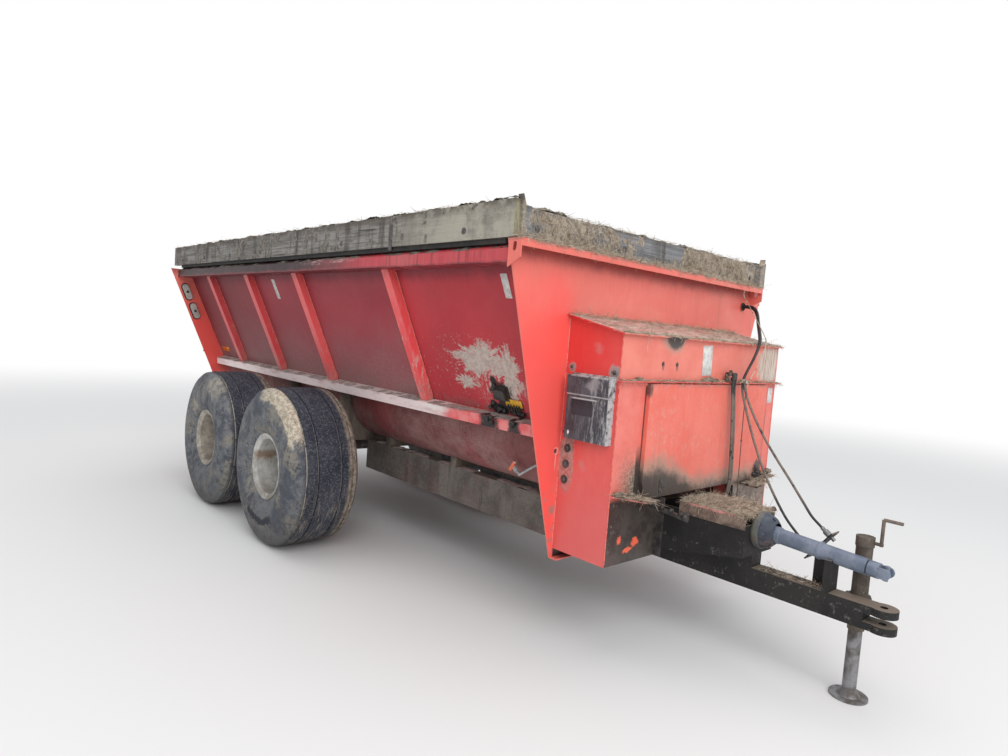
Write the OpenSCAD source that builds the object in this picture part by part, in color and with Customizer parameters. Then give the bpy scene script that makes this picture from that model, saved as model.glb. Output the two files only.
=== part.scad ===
// Side-discharge manure spreader: a V-shaped tank with two augers in its trough, on two
// walking beams with four flotation tyres, with a hammer expeller at the left front.
// Lengths are millimetres. X runs forward, Y to the machine's left and Z up from the ground.

/* [Tank] */
// Length of the tank from the rear wall to the front wall's face
tank_len = 4970; // [4400:10:5400]
// Half of the width over the top rails
rail_half = 1200; // [1150:5:1250]
// Height of the top rails' upper outer edge
rail_z = 1984; // [1950:2:2020]
// Height of the top rails' upright outer face
rail_face = 62; // [50:1:75]
// Thickness of the tank's side sheets and trough
sheet_t = 7; // [5:1:10]
// Thickness of the front and rear walls
wall_t = 8; // [6:1:12]

/* [Augers and expeller] */
// Distance of each auger's axis from the centre plane
auger_y = 310; // [305:1:320]
// Height of the augers' axes
auger_z = 1040; // [1030:1:1050]
// Radius of the auger flights
flight_r = 290; // [260:1:295]
// Radius of the auger tubes
auger_tube_r = 57; // [45:1:70]
// Pitch of the auger flights
flight_pitch = 460; // [400:10:520]
// Gap between the flights and the trough
trough_gap = 45; // [35:1:50]
// Radius at the hammers' tips
hammer_tip_r = 268; // [240:1:272]
// Length of the expeller's chamber
expeller_len = 790; // [700:10:850]

/* [Boards] */
// Height of the planks on the rails
board_h = 175; // [140:5:220]
// Thickness of the planks
board_t = 38; // [30:1:45]
// How far the side planks reach past the rear wall
board_over = 140; // [0:5:160]

/* [Wheels] */
// Outer radius of the tyres
tyre_r = 551; // [520:1:560]
// Width of the tyres
tyre_w = 490; // [440:5:490]
// Distance of the tyres' middles from the centre plane
wheel_y = 1166; // [1160:1:1200]
// Distance between the front and the rear wheels' axles
axle_gap = 1234; // [1180:2:1300]
// Distance of the walking beams' pivot behind the front wall
pivot_back = 2777; // [2700:1:2850]
// Radius of the rims at their flanges
rim_r = 223; // [210:1:235]
// Depth of the tyres' grooves
groove_depth = 14; // [8:1:18]

/* [Frame] */
// Half of the width over the frame beams
beam_half = 475; // [460:1:490]
// Width of a frame beam
beam_w = 80; // [60:1:90]
// Height of the frame beams' undersides
beam_low = 445; // [430:1:460]
// Depth of the frame beams
beam_h = 224; // [200:1:230]

/* [Front housing] */
// Reach of the driveline housing to the right of the centre plane
housing_right = 745; // [720:1:755]
// Reach of the driveline housing to the left of the centre plane
housing_left = 815; // [790:1:830]
// How far the housing stands in front of the wall
housing_depth = 345; // [300:5:400]
// Height of the housing's top at the wall
housing_top = 1714; // [1690:1:1740]
// Height of the housing's bottom edge
housing_low = 506; // [495:1:520]
// Thickness of the housing's panels
panel_t = 5; // [4:1:8]
// Depth of the flange along the front wall's top
flange_depth = 85; // [70:1:95]

/* [Tongue] */
// How far the hitch reaches in front of the wall
nose_reach = 1400; // [1350:10:1500]
// Half of the width of the tongue's box
tongue_half = 150; // [130:1:170]
// Radius of the hitch's bore
hitch_r = 17; // [15:0.5:20]
// Travel of the jack's leg
jack_travel = 250; // [200:10:280]
// Travel of the discharge door
door_travel = 240; // [200:10:240]

/* [Hidden] */
$fn = 48;
fine = 96;
seat = 0.3;
// A length that reaches right past whatever it cuts
beyond = 2000;

red = [0.72, 0.13, 0.10];
dark_red = [0.45, 0.12, 0.11];
grime = [0.36, 0.33, 0.30];
wood = [0.45, 0.43, 0.38];
black = [0.08, 0.08, 0.09];
steel = [0.55, 0.56, 0.58];
off_white = [0.70, 0.70, 0.67];

// Places along X, from the front wall's face at 0 before the shift to the origin
rear_end = -(tank_len + board_over);
x_shift = -(rear_end + nose_reach) / 2;
rear_x = -tank_len;
pivot_x = -pivot_back;
axle_z = tyre_r;

// The tank's section
rail_low = rail_z - rail_face;
rib_depth = 57;
sheet_low = auger_z + 38;
trough_r = flight_r + trough_gap;
trough_out = trough_r + sheet_t;
sheet_top_y = rail_half - 138;
sheet_low_y = auger_y + trough_out + 31;
side_slope = (sheet_top_y - sheet_low_y) / (rail_low - sheet_low);
function side_y(z) = sheet_top_y - side_slope * (rail_low - z);
rail_top = rail_z + 28;
wall_top = rail_z + 46;
strip_h = 26;
board_low = rail_top + strip_h;
end_board_low = rail_top + seat;
end_board_h = wall_top - rail_top + board_h - 15;

// The ribs' places behind the front wall
rib_w = 75;
rib_backs = [1158, 2423, 3359, 4282];

// The expeller
expeller_y = 715;
expeller_z = 860;
lip_h = 95;
shell_gap = 20;
shell_in = hammer_tip_r + shell_gap;
shell_t = 8;
window_top = expeller_z + lip_h + door_travel + 135;
door_gap = 6;
door_t = 8;
door_h = door_travel + 10;
door_lap = 60;
hood_z = 1440;
hood_y = rail_half - 80;
hood_lip_z = 1232;
cylinder_off = 48;
cylinder_r = 25;
rod_r = 12;
journal_r = 30;
bearing_t = 32;
end_gap = 5;

// The frame
beam_top = beam_low + beam_h;
beam_end = 2330;
bulkhead_t = 12;
bulkhead_half = 740;
hanger_y = 600;
hanger_t = 40;
cross_backs = [250, 1180, 2000];
wb_in = 770;
wb_out = 860;
wb_h = 190;
boss_reach = 12;
pivot_r = 50;
spindle_r = 38;
run_gap = 0.05;
drive_r = 25;
guard_r = 38;
rest_x = nose_reach - 300;

// The tongue
tongue_top = 730;
tongue_front = nose_reach - 665;
drive_z = 700;
drive_drop = 4;
nose_half = 50;
nose_low = 395;
nose_h = 110;
plate_t = 12;
hitch_x = nose_reach - 60;

// The hose holder on the tongue's nose: its docks lie in a plane that leans back
dock_lean = 53.13;
dock_y = 105;
dock_gap = 120;
dock_start = [nose_reach - 430, dock_y, 633];
dock_bore = 11;
holder_t = 6;

module placed() {
    translate([x_shift, 0, 0]) children();
}

// A section drawn in Y and Z, run along X from x
module along_x(x, len) {
    translate([x, 0, 0]) rotate([90, 0, 90]) linear_extrude(len) children();
}

// A section drawn in X and Z, run along Y from y
module along_y(y, len) {
    translate([0, y + len, 0]) rotate([90, 0, 0]) linear_extrude(len) children();
}

module rod_x(x, y, z, len, r) {
    translate([x, y, z]) rotate([0, 90, 0]) cylinder(h = len, r = r);
}

module rod_y(x, y, z, len, r) {
    translate([x, y, z]) rotate([-90, 0, 0]) cylinder(h = len, r = r);
}

module both_sides() {
    children();
    mirror([0, 1, 0]) children();
}

// The left side's sheet section
module sheet_section(low, high) {
    polygon([
        [side_y(low), low], [side_y(high), high],
        [side_y(high) - sheet_t, high], [side_y(low) - sheet_t, low]
    ]);
}

module right_side_sheet() {
    color(dark_red) placed() mirror([0, 1, 0])
        along_x(rear_x + wall_t, tank_len - 2 * wall_t) sheet_section(sheet_low, rail_low);
}

module left_side_sheet() {
    color(dark_red) placed() difference() {
        along_x(rear_x + wall_t, tank_len - 2 * wall_t) sheet_section(sheet_low, rail_low);
        translate([-expeller_len, 0, sheet_low - 50])
            cube([expeller_len, beyond, window_top - sheet_low + 50]);
    }
}

// The outline of the twin trough, grown or shrunk by its radius r
module trough_disc(r) {
    for (side = [-1, 1]) translate([side * auger_y, auger_z]) circle(r, $fn = fine);
}

module trough_section() {
    difference() {
        trough_disc(trough_out);
        trough_disc(trough_r);
        translate([-beyond, auger_z]) square([2 * beyond, beyond]);
        translate([-auger_y, auger_z - trough_r]) square([2 * auger_y, beyond]);
    }
    difference() {
        intersection() {
            trough_disc(trough_out);
            translate([-auger_y, 0]) square([2 * auger_y, auger_z]);
        }
        trough_disc(trough_r);
    }
    for (side = [-1, 1]) polygon([
        [side * (auger_y + trough_r), auger_z], [side * (auger_y + trough_out), auger_z],
        [side * side_y(sheet_low), sheet_low], [side * (side_y(sheet_low) - sheet_t), sheet_low]
    ]);
}

module trough() {
    color(grime) placed() difference() {
        along_x(rear_x + wall_t, tank_len - 2 * wall_t) trough_section();
        along_x(-expeller_len, expeller_len) {
            translate([expeller_y, expeller_z]) circle(shell_in + shell_t, $fn = fine);
            translate([auger_y + trough_r - 60, auger_z - 60]) square([200, 200]);
        }
    }
}

wall_low = 453;
wall_low_half = housing_right + 13;
wall_top_half = rail_half + 4;
function wall_y(z) = wall_low_half + (wall_top_half - wall_low_half) * (z - wall_low) / (wall_top - wall_low);

// The hoses' grommet on the front wall, and the fittings of the two hoses that drop
grommet_y = 946;
grommet_z = 1896;
grommet_r = 30;
grommet_t = 8;
drop_gap = 20;
drop_y = 286;
drop_ys = [drop_y, drop_y + drop_gap];
drop_z = 655;
fitting_r = 9.5;
fitting_len = 30;

// The flange stops short of the wall's left edge
flange_left = 1050;
gusset_t = 6;

// An eye's oval, drawn round its middle
module oval(half_len, r) {
    for (end = [-1, 1]) translate([0, end * half_len]) circle(r);
    translate([-r, -half_len]) square([2 * r, 2 * half_len]);
}

// The plate that closes the flange's end, with its lifting eye
module eye_gusset(y) {
    along_y(y, gusset_t) difference() {
        polygon([
            [0, wall_top - wall_t], [flange_depth, wall_top - wall_t],
            [flange_depth, wall_top - 88], [0, wall_top - 132]
        ]);
        translate([flange_depth / 2, wall_top - 38]) rotate(-6) oval(10, 12);
    }
}

// The outline of the expeller chamber's ends: round the shell, and up to the hood
module chamber_end() {
    rim = shell_in + shell_t + 15;
    intersection() {
        translate([expeller_y, expeller_z]) circle(rim, $fn = fine);
        translate([auger_y + trough_r - 150, expeller_z - rim]) square([800, rim + 150]);
    }
    polygon([
        [expeller_y, expeller_z + 60], [expeller_y + shell_in + 10, expeller_z + 60],
        [hood_y + 30, hood_lip_z - 20], [hood_y - 20, hood_z - 60], [side_y(hood_z) + 60, hood_z + 10],
        [side_y(hood_z), hood_z + 10]
    ]);
}

module front_wall() {
    lip_h = 36;
    lip_t = 6;
    color(red) placed() {
        difference() {
            along_x(-wall_t, wall_t) union() {
                polygon([
                    [-wall_y(wall_low), wall_low], [wall_y(wall_low), wall_low],
                    [wall_y(wall_top), wall_top], [-wall_y(wall_top), wall_top]
                ]);
                chamber_end();
            }
            rod_x(-20, -wall_low_half - 17, 1015, 40, 14);
            for (side = [-1, 1]) rod_x(-20, side * auger_y, auger_z, 40, journal_r + 8);
            rod_x(-20, expeller_y, expeller_z, 40, journal_r + 8);
        }
        translate([0, -wall_y(wall_top), wall_top - wall_t])
            cube([flange_depth, flange_left + wall_y(wall_top), wall_t]);
        translate([flange_depth - lip_t, -wall_y(wall_top), wall_top - lip_h])
            cube([lip_t, flange_left + wall_y(wall_top), lip_h]);
        for (y = [-wall_y(wall_top), flange_left - gusset_t]) eye_gusset(y);
        for (y = drop_ys) rod_x(0, y, drop_z, fitting_len, fitting_r);
        rod_x(0, grommet_y, grommet_z, grommet_t, grommet_r);
        translate([0, -wall_low_half, wall_low]) cube([45, 150, 6]);
    }
}

// The rear wall's wings reach out past the side sheets
wing_top = rail_z + 16;
wing_slope = 0.433;
function wing_y(z) = rail_half + 67 - wing_slope * (wing_top - z);
stiffener_zs = [1350, 1700];
stiffener_depth = 45;
lamp_zs = [1590, 1778];
lamp_half = 52;
lamp_r = 28;

// A place on the left wing, turned along its slanted edge
module on_wing(z) {
    translate([rear_x, wing_y(z) - 62, z]) rotate([-atan(wing_slope), 0, 0]) children();
}

module rear_wall() {
    wing_low = 690;
    color(red) placed() {
        difference() {
            along_x(rear_x, wall_t) polygon([
                [-wing_y(wing_low), wing_low], [wing_y(wing_low), wing_low],
                [wing_y(wing_top), wing_top], [-wing_y(wing_top), wing_top]
            ]);
            for (side = [-1, 1]) rod_x(rear_x - 20, side * auger_y, auger_z, 40, journal_r + 8);
            both_sides() for (z = lamp_zs) on_wing(z) along_x(-20, 40) oval(lamp_half, lamp_r + seat);
        }
        for (z = stiffener_zs)
            along_y(-side_y(z) + 40, 2 * side_y(z) - 80) polygon([
                [rear_x, z - 55], [rear_x - stiffener_depth, z - 35],
                [rear_x - stiffener_depth, z + 35], [rear_x, z + 55]
            ]);
    }
}

module top_rails() {
    inner = sheet_top_y - sheet_t;
    color(dark_red) placed() both_sides()
        along_x(rear_x + wall_t, tank_len - 2 * wall_t) difference() {
            polygon([
                [inner, rail_low], [rail_half, rail_low], [rail_half, rail_z],
                [rail_half - 50, rail_top], [inner, rail_top]
            ]);
            polygon([
                [inner + 6, rail_low + 6], [rail_half - 6, rail_low + 6], [rail_half - 6, rail_z - 4],
                [rail_half - 52, rail_top - 6], [inner + 6, rail_top - 6]
            ]);
        }
}

// The lower rail's section: a sloping top, an upright face, and a bottom that runs back to the sheet
module lower_rail_section() {
    top = sheet_low + 62;
    reach = 79;
    fall = 18;
    face = 62;
    tuck = 5;
    foot = 28;
    polygon([
        [side_y(top) + seat, top], [side_y(top) + reach, top - fall],
        [side_y(top) + reach - tuck, top - fall - face],
        [side_y(sheet_low) + tuck, sheet_low - foot], [side_y(sheet_low) + seat, sheet_low]
    ]);
}

module lower_rails() {
    color(dark_red) placed() {
        mirror([0, 1, 0]) along_x(rear_x + 40, tank_len - 40 - wall_t) lower_rail_section();
        along_x(rear_x + 40, tank_len - 40 - expeller_len - 20) lower_rail_section();
    }
}

module side_ribs() {
    low = sheet_low + 53;
    wall = 6;
    toe = 10;
    spare = 60;
    color(red) placed() both_sides() for (back = rib_backs)
        difference() {
            along_x(-back - rib_w, rib_w) polygon([
                [side_y(low) + toe + 2, low + toe], [side_y(low) + rib_depth, low],
                [side_y(rail_low) + rib_depth, rail_low], [side_y(rail_low) + seat, rail_low],
                [side_y(low + 2 * toe) + seat, low + 2 * toe]
            ]);
            along_x(-back - rib_w + wall, rib_w - 2 * wall) polygon([
                [side_y(low) - spare, low - spare], [side_y(low - spare) + rib_depth - wall, low - spare],
                [side_y(rail_low + spare) + rib_depth - wall, rail_low + spare],
                [side_y(rail_low), rail_low + spare]
            ]);
        }
}

module side_boards() {
    color(wood) placed() both_sides()
        translate([rear_end, rail_half - 5 - board_t, board_low]) cube([-rear_end + 15, board_t, board_h]);
}

module rubber_strips() {
    strip_end = wall_t + board_t + 2;
    color(black) placed() both_sides()
        translate([rear_x + strip_end, rail_half - 88, rail_top]) cube([tank_len - 2 * strip_end, 70, strip_h]);
}

module end_boards() {
    post_w = 56;
    post_tip = 48;
    half = rail_half - 5 - board_t - seat;
    inner_half = half - post_w - 1;
    post_top = end_board_low + end_board_h;
    color(wood) placed() {
        for (x = [-wall_t - board_t, rear_x + wall_t])
            translate([x, -half, end_board_low]) cube([board_t, 2 * half, end_board_h]);
        both_sides() along_x(-wall_t - 1, board_t) polygon([
            [inner_half, wall_top + 1], [half, wall_top + 1], [half, post_top + post_tip],
            [half - 20, post_top], [inner_half, post_top - 5]
        ]);
    }
}

module frame_beams() {
    color(grime) placed() both_sides()
        translate([-beam_end, beam_half - beam_w, beam_low]) cube([beam_end - wall_t, beam_w, beam_h]);
}

module cross_members() {
    thick = 60;
    color(grime) placed() for (back = cross_backs)
        along_x(-back - thick, thick) difference() {
            translate([-beam_half, beam_top]) square([2 * beam_half, 110]);
            trough_disc(trough_out + seat);
            translate([-auger_y, auger_z - trough_out]) square([2 * auger_y, 500]);
            translate([expeller_y, expeller_z]) circle(shell_in + shell_t + seat, $fn = fine);
        }
}

module saddle() {
    color(grime) placed() {
        for (x = [-beam_end, 2 * pivot_x + beam_end])
            along_x(x - bulkhead_t / 2, bulkhead_t) difference() {
                translate([-bulkhead_half, beam_top]) square([2 * bulkhead_half, auger_z - seat - beam_top]);
                trough_disc(trough_out + seat);
                translate([-auger_y, auger_z - trough_out]) square([2 * auger_y, 500]);
            }
        both_sides() difference() {
            along_y(hanger_y, hanger_t) polygon([
                [-beam_end - bulkhead_t / 2, beam_top], [-beam_end - bulkhead_t / 2, beam_top + 130],
                [2 * pivot_x + beam_end + bulkhead_t / 2, beam_top + 130],
                [2 * pivot_x + beam_end + bulkhead_t / 2, beam_top],
                [pivot_x - 160, axle_z - 90], [pivot_x + 160, axle_z - 90]
            ]);
            rod_y(pivot_x, hanger_y - 10, axle_z, hanger_t + 20, pivot_r + run_gap);
        }
    }
}

module pivot_shaft() {
    color(steel) placed() rod_y(pivot_x, -(wb_out + 20), axle_z, 2 * (wb_out + 20), pivot_r);
}

module walking_beams() {
    end_h = 60;
    color(grime) placed() both_sides() difference() {
        union() {
            along_y(wb_in, wb_out - wb_in) {
                polygon([
                    [pivot_x - axle_gap / 2, axle_z - end_h], [pivot_x - axle_gap / 2, axle_z + end_h],
                    [pivot_x - 130, axle_z + wb_h / 2], [pivot_x + 130, axle_z + wb_h / 2],
                    [pivot_x + axle_gap / 2, axle_z + end_h], [pivot_x + axle_gap / 2, axle_z - end_h],
                    [pivot_x + 130, axle_z - wb_h / 2], [pivot_x - 130, axle_z - wb_h / 2]
                ]);
                for (end = [-1, 1]) translate([pivot_x + end * axle_gap / 2, axle_z]) circle(end_h);
            }
            rod_y(pivot_x, wb_in - boss_reach, axle_z, wb_out - wb_in + 2 * boss_reach, pivot_r + 28);
            for (end = [-1, 1])
                rod_y(pivot_x + end * axle_gap / 2, wb_out - 1, axle_z, wheel_y + 61 - wb_out, spindle_r);
        }
        rod_y(pivot_x, wb_in - 2 * boss_reach, axle_z, wb_out - wb_in + 4 * boss_reach, pivot_r + run_gap);
    }
}

// The grooves' places across the tread, as shares of its half width
groove_places = [-0.66, -0.34, 0.34, 0.66];

// A wheel's pieces stand with their outer side towards the left
module tyre_shape() {
    half = tyre_w / 2;
    bead = rim_r - 18;
    shoulder = half * 0.78;
    side = tyre_r - rim_r;
    rotate([-90, 0, 0]) difference() {
        rotate_extrude($fn = fine) polygon([
            [bead, -half * 0.80], [rim_r + 6, -half * 0.84], [rim_r + side * 0.16, -half * 0.94],
            [rim_r + side * 0.36, -half], [rim_r + side * 0.58, -half], [tyre_r - side * 0.24, -half * 0.95],
            [tyre_r - side * 0.10, -half * 0.88], [tyre_r - 9, -shoulder], [tyre_r - 2, -half * 0.60],
            [tyre_r, 0], [tyre_r - 2, half * 0.60], [tyre_r - 9, shoulder], [tyre_r - side * 0.10, half * 0.88],
            [tyre_r - side * 0.24, half * 0.95], [rim_r + side * 0.58, half], [rim_r + side * 0.36, half],
            [rim_r + side * 0.16, half * 0.94], [rim_r + 6, half * 0.84], [bead, half * 0.80]
        ]);
        rotate_extrude($fn = fine) for (y = groove_places) translate([tyre_r - groove_depth, y * half - 6])
            square([2 * groove_depth, 12]);
    }
}

module rim_shape() {
    half = tyre_w / 2;
    bead = rim_r - 18 - seat;
    lip = half * 0.80 - seat;
    flange_rim = half * 0.84 + 2 * seat;
    flange_foot = lip - 4;
    disc_y = -40;
    hub_r = 78;
    cap_r = 48;
    rotate([-90, 0, 0]) rotate_extrude($fn = fine) polygon([
        [spindle_r + run_gap, -170], [hub_r, -170], [hub_r, disc_y - 12], [bead - 60, disc_y - 12],
        [bead - 14, disc_y + 22], [bead - 14, -flange_foot], [bead - 8, -flange_foot - 6],
        [rim_r, -flange_rim - 7], [rim_r + 6, -flange_rim - 5], [rim_r + 6, -flange_rim],
        [bead, -lip - 2 * seat], [bead, lip + 2 * seat],
        [rim_r + 6, flange_rim], [rim_r + 6, flange_rim + 5], [rim_r, flange_rim + 7],
        [bead - 8, flange_foot + 6], [bead - 14, flange_foot], [bead - 14, disc_y + 32], [bead - 62, disc_y],
        [hub_r, disc_y], [hub_r, disc_y + 34], [cap_r, disc_y + 38], [cap_r, 96], [cap_r - 12, 108], [0, 108],
        [0, 75], [spindle_r + run_gap, 75]
    ]);
}

module wheel_place(side, end) {
    placed() translate([pivot_x + end * axle_gap / 2, side * wheel_y, axle_z])
        mirror([0, side < 0 ? 1 : 0, 0]) children();
}

module auger_tube(side) {
    tube_len = tank_len - 2 * (wall_t + end_gap);
    color(grime) placed() {
        rod_x(rear_x + wall_t + end_gap, side * auger_y, auger_z, tube_len, auger_tube_r);
        rod_x(rear_x - bearing_t, side * auger_y, auger_z, tank_len + 2 * bearing_t, journal_r);
    }
}

// Flange bearings on the outside of the walls, for the augers and the expeller
module bearing(y, z) {
    along_x(0, bearing_t) translate([y, z]) difference() {
        circle(55);
        circle(journal_r + run_gap);
    }
}

module bearings() {
    color(steel) placed() {
        for (side = [-1, 1], x = [rear_x - bearing_t, 0]) translate([x, 0, 0]) bearing(side * auger_y, auger_z);
        bearing(expeller_y, expeller_z);
        translate([-expeller_len - end_gap - shell_t - bearing_t, 0, 0]) bearing(expeller_y, expeller_z);
    }
}

// One blade as a thin sector, twisted along its axis
module flight(start, len, hand) {
    wedge = 9;
    turn_slices = 20;
    inner = (auger_tube_r + seat) / cos(180 / turn_slices);
    turns = len / flight_pitch;
    translate([start, 0, 0]) rotate([0, 90, 0])
        linear_extrude(height = len, twist = hand * 360 * turns, slices = ceil(turns * turn_slices), segments = 0)
            polygon([
                [inner, 0], [flight_r, 0],
                [flight_r * cos(wedge), flight_r * sin(wedge)], [inner * cos(wedge), inner * sin(wedge)]
            ]);
}

module right_auger_flight() {
    color(grime) placed() translate([0, -auger_y, auger_z])
        flight(rear_x + 60, tank_len - 110, 1);
}

module left_auger_flight() {
    color(grime) placed() translate([0, auger_y, auger_z])
        flight(rear_x + 60, tank_len - expeller_len - 90, -1);
}

hammer_rows = 4;
hammer_cols = 5;
pin_circle = 150;
pin_r = 12;

module expeller_rotor() {
    lug_half = 32;
    journal_len = expeller_len + end_gap + shell_t + 2 * bearing_t;
    color(grime) placed() translate([0, expeller_y, expeller_z]) {
        rod_x(-expeller_len + end_gap, 0, 0, expeller_len - wall_t - 2 * end_gap, 60);
        rod_x(-expeller_len - end_gap - shell_t - bearing_t, 0, 0, journal_len, journal_r);
        for (row = [0 : hammer_rows - 1], col = [0 : hammer_cols - 1])
            rotate([row * 360 / hammer_rows + col * 36, 0, 0]) {
                for (side = [-1, 1])
                    along_x(hammer_x(col) + side * 26 - 6, 12) {
                        translate([0, pin_circle]) circle(lug_half);
                        translate([-lug_half, 40]) square([2 * lug_half, pin_circle - 40]);
                    }
                rod_x(hammer_x(col) - 40, 0, pin_circle, 80, pin_r);
            }
    }
}

function hammer_x(col) = -expeller_len + 75 + col * (expeller_len - 160) / (hammer_cols - 1);

module expeller_hammers() {
    shank_half = 28;
    head_half = 40;
    color(steel) placed() translate([0, expeller_y, expeller_z])
        for (row = [0 : hammer_rows - 1], col = [0 : hammer_cols - 1])
            rotate([row * 360 / hammer_rows + col * 36, 0, 0])
                along_x(hammer_x(col) - 20 + seat, 40 - 2 * seat) difference() {
                    union() {
                        translate([0, pin_circle]) circle(shank_half);
                        translate([-shank_half, pin_circle])
                            square([2 * shank_half, hammer_tip_r - pin_circle - 20]);
                        intersection() {
                            circle(hammer_tip_r, $fn = fine);
                            polygon([
                                [-shank_half, hammer_tip_r - 56], [shank_half, hammer_tip_r - 56],
                                [head_half, hammer_tip_r - 36], [head_half, hammer_tip_r],
                                [-head_half, hammer_tip_r], [-head_half, hammer_tip_r - 36]
                            ]);
                        }
                    }
                    translate([0, pin_circle]) circle(pin_r + seat);
                }
}

module expeller_shell() {
    color(red) placed() {
        along_x(-expeller_len, expeller_len - wall_t) difference() {
            translate([expeller_y, expeller_z]) circle(shell_in + shell_t, $fn = fine);
            translate([expeller_y, expeller_z]) circle(shell_in, $fn = fine);
            trough_disc(trough_r);
            translate([0, expeller_z + lip_h]) square(beyond);
        }
        along_x(-expeller_len - shell_t, shell_t) difference() {
            chamber_end();
            trough_disc(trough_out + seat);
            polygon([
                [0, auger_z], [auger_y + trough_out + seat, auger_z],
                [side_y(sheet_low) + seat, sheet_low], [side_y(rail_low) + seat, rail_low], [0, rail_low]
            ]);
            translate([expeller_y, expeller_z]) circle(journal_r + 8);
        }
    }
}

module discharge_hood() {
    slot = rod_r + 20;
    cheek_t = 6;
    color(red) placed() difference() {
        union() {
            along_x(-expeller_len, expeller_len - wall_t) polygon([
                [side_y(hood_z) + 30, hood_z - 10], [side_y(hood_z) + 30, hood_z - 17],
                [hood_y - 66, hood_z - 88], [hood_y, hood_lip_z], [hood_y + 7, hood_lip_z + 2],
                [hood_y - 60, hood_z - 80]
            ]);
            for (x = hood_rib_xs) along_x(x, cheek_t) polygon([
                [side_y(hood_z) + 40, hood_z - 12], [hood_y - 60, hood_z - 82], [hood_y + 2, hood_lip_z + 10],
                [hood_y + 26, hood_lip_z + 18], [hood_y - 42, hood_z - 62], [side_y(hood_z) + 40, hood_z + 8]
            ]);
        }
        translate([cylinder_x - slot, 0, hood_z - 100]) cube([2 * slot, side_y(hood_z) + 95, 200]);
    }
}

// The door and its rod are drawn down the side sheet's slope
slope_angle = atan(side_slope);

module on_slope(z) {
    translate([0, side_y(z), z]) rotate([-slope_angle, 0, 0]) children();
}

module discharge_door() {
    gap = 8;
    color(red) placed() on_slope(window_top) {
        translate([-expeller_len + gap, door_gap, door_lap - door_h])
            cube([expeller_len - wall_t - 2 * gap, door_t, door_h]);
    }
}

cylinder_x = -expeller_len / 2;
hood_rib_xs = [-expeller_len * 0.82, -expeller_len * 0.18];

module door_cylinder() {
    barrel_len = door_travel + 80;
    bracket_w = 40;
    cap = 10;
    color(black) placed() on_slope(rail_low - 22) {
        difference() {
            union() {
                translate([cylinder_x, cylinder_off, -barrel_len - cap])
                    cylinder(h = barrel_len, r = cylinder_r);
                translate([cylinder_x - bracket_w / 2, seat, -bracket_w - 2 * cap])
                    cube([bracket_w, cylinder_off - seat, bracket_w]);
            }
            translate([cylinder_x, cylinder_off, -barrel_len - 2 * cap])
                cylinder(h = barrel_len - cap, r = rod_r + run_gap);
        }
    }
}

module door_rod() {
    color(steel) placed() on_slope(window_top) {
        translate([cylinder_x, cylinder_off, 30]) cylinder(h = 310, r = rod_r);
        translate([cylinder_x - 18, door_gap + door_t, 20]) cube([36, cylinder_off, 20]);
    }
}

housing_front_top = housing_top - 74;
cover_low = 819;
cover_high = 1400;
cover_right = 525;
cover_left = 690;
elbow_x = 395;
elbow_z = 1462;
elbow_y = 212;
elbow_ys = [elbow_y, elbow_y + drop_gap];
peg_y = -450;
peg_z = 794;
peg_r = 12;

module housing_shell() {
    lip = 25;
    top_reach = housing_depth + lip;
    top_slope = (housing_top - housing_front_top) / housing_depth;
    mouth_half = 340;
    mouth_top = cover_low - 4;
    edge_t = 6;
    color(red) placed() {
        for (y = [-housing_right, housing_left - panel_t]) along_y(y, panel_t) polygon([
            [0, housing_low], [housing_depth, housing_low], [housing_depth, housing_front_top], [0, housing_top]
        ]);
        along_y(-housing_right - lip, housing_right + housing_left + 2 * lip) polygon([
            [0, housing_top - 1], [top_reach, housing_top - top_slope * top_reach - 1],
            [top_reach, housing_top - top_slope * top_reach + panel_t], [0, housing_top + panel_t]
        ]);
        along_x(housing_depth - panel_t, panel_t) difference() {
            translate([-housing_right, housing_low])
                square([housing_right + housing_left, housing_front_top - housing_low]);
            translate([-mouth_half, housing_low - 10]) square([2 * mouth_half, mouth_top - housing_low + 10]);
            translate([-cover_right + 40, cover_low + 40])
                square([cover_right + cover_left - 80, cover_high - cover_low - 60]);
        }
        for (y = [-mouth_half - edge_t, mouth_half])
            translate([housing_depth, y, housing_low]) cube([42, edge_t, mouth_top - housing_low]);
        translate([housing_depth, -housing_right - 20, cover_high + 8])
            cube([30, housing_right + housing_left + 40, 6]);
        corner_ledge(-1, housing_right, 858, cover_right + 4);
        corner_ledge(1, housing_left, 836, 500);
        for (y = elbow_ys) {
            rod_x(housing_depth, y, elbow_z, elbow_x - housing_depth, fitting_r);
            translate([elbow_x, y, elbow_z]) sphere(fitting_r + 1);
            translate([elbow_x, y, elbow_z - 32]) cylinder(h = 32, r = fitting_r);
        }
        translate([housing_depth - panel_t, peg_y, peg_z]) rotate([0, 90 + 6, 0]) cylinder(h = 255, r = peg_r);
    }
}

// A sloping ledge between the housing's corner and its cover, cut off at its outer corner
module corner_ledge(side, reach, high, inner) {
    deep = 110;
    low = high - 34;
    mirror([0, side < 0 ? 1 : 0, 0]) intersection() {
        along_x(housing_depth, deep) polygon([
            [reach, high], [inner, low], [inner, low - 6], [reach, high - 6]
        ]);
        translate([0, 0, low - 20]) linear_extrude(high - low + 40) polygon([
            [housing_depth, reach], [housing_depth, inner], [housing_depth + deep, inner],
            [housing_depth + deep, inner + 60], [housing_depth + 12, reach]
        ]);
    }
}

module housing_cover() {
    deep = 22;
    skin = 4;
    color(red) placed() difference() {
        along_x(housing_depth + seat, deep) cover_outline(0);
        along_x(housing_depth - 1, deep - skin + 1) cover_outline(skin);
    }
}

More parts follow.
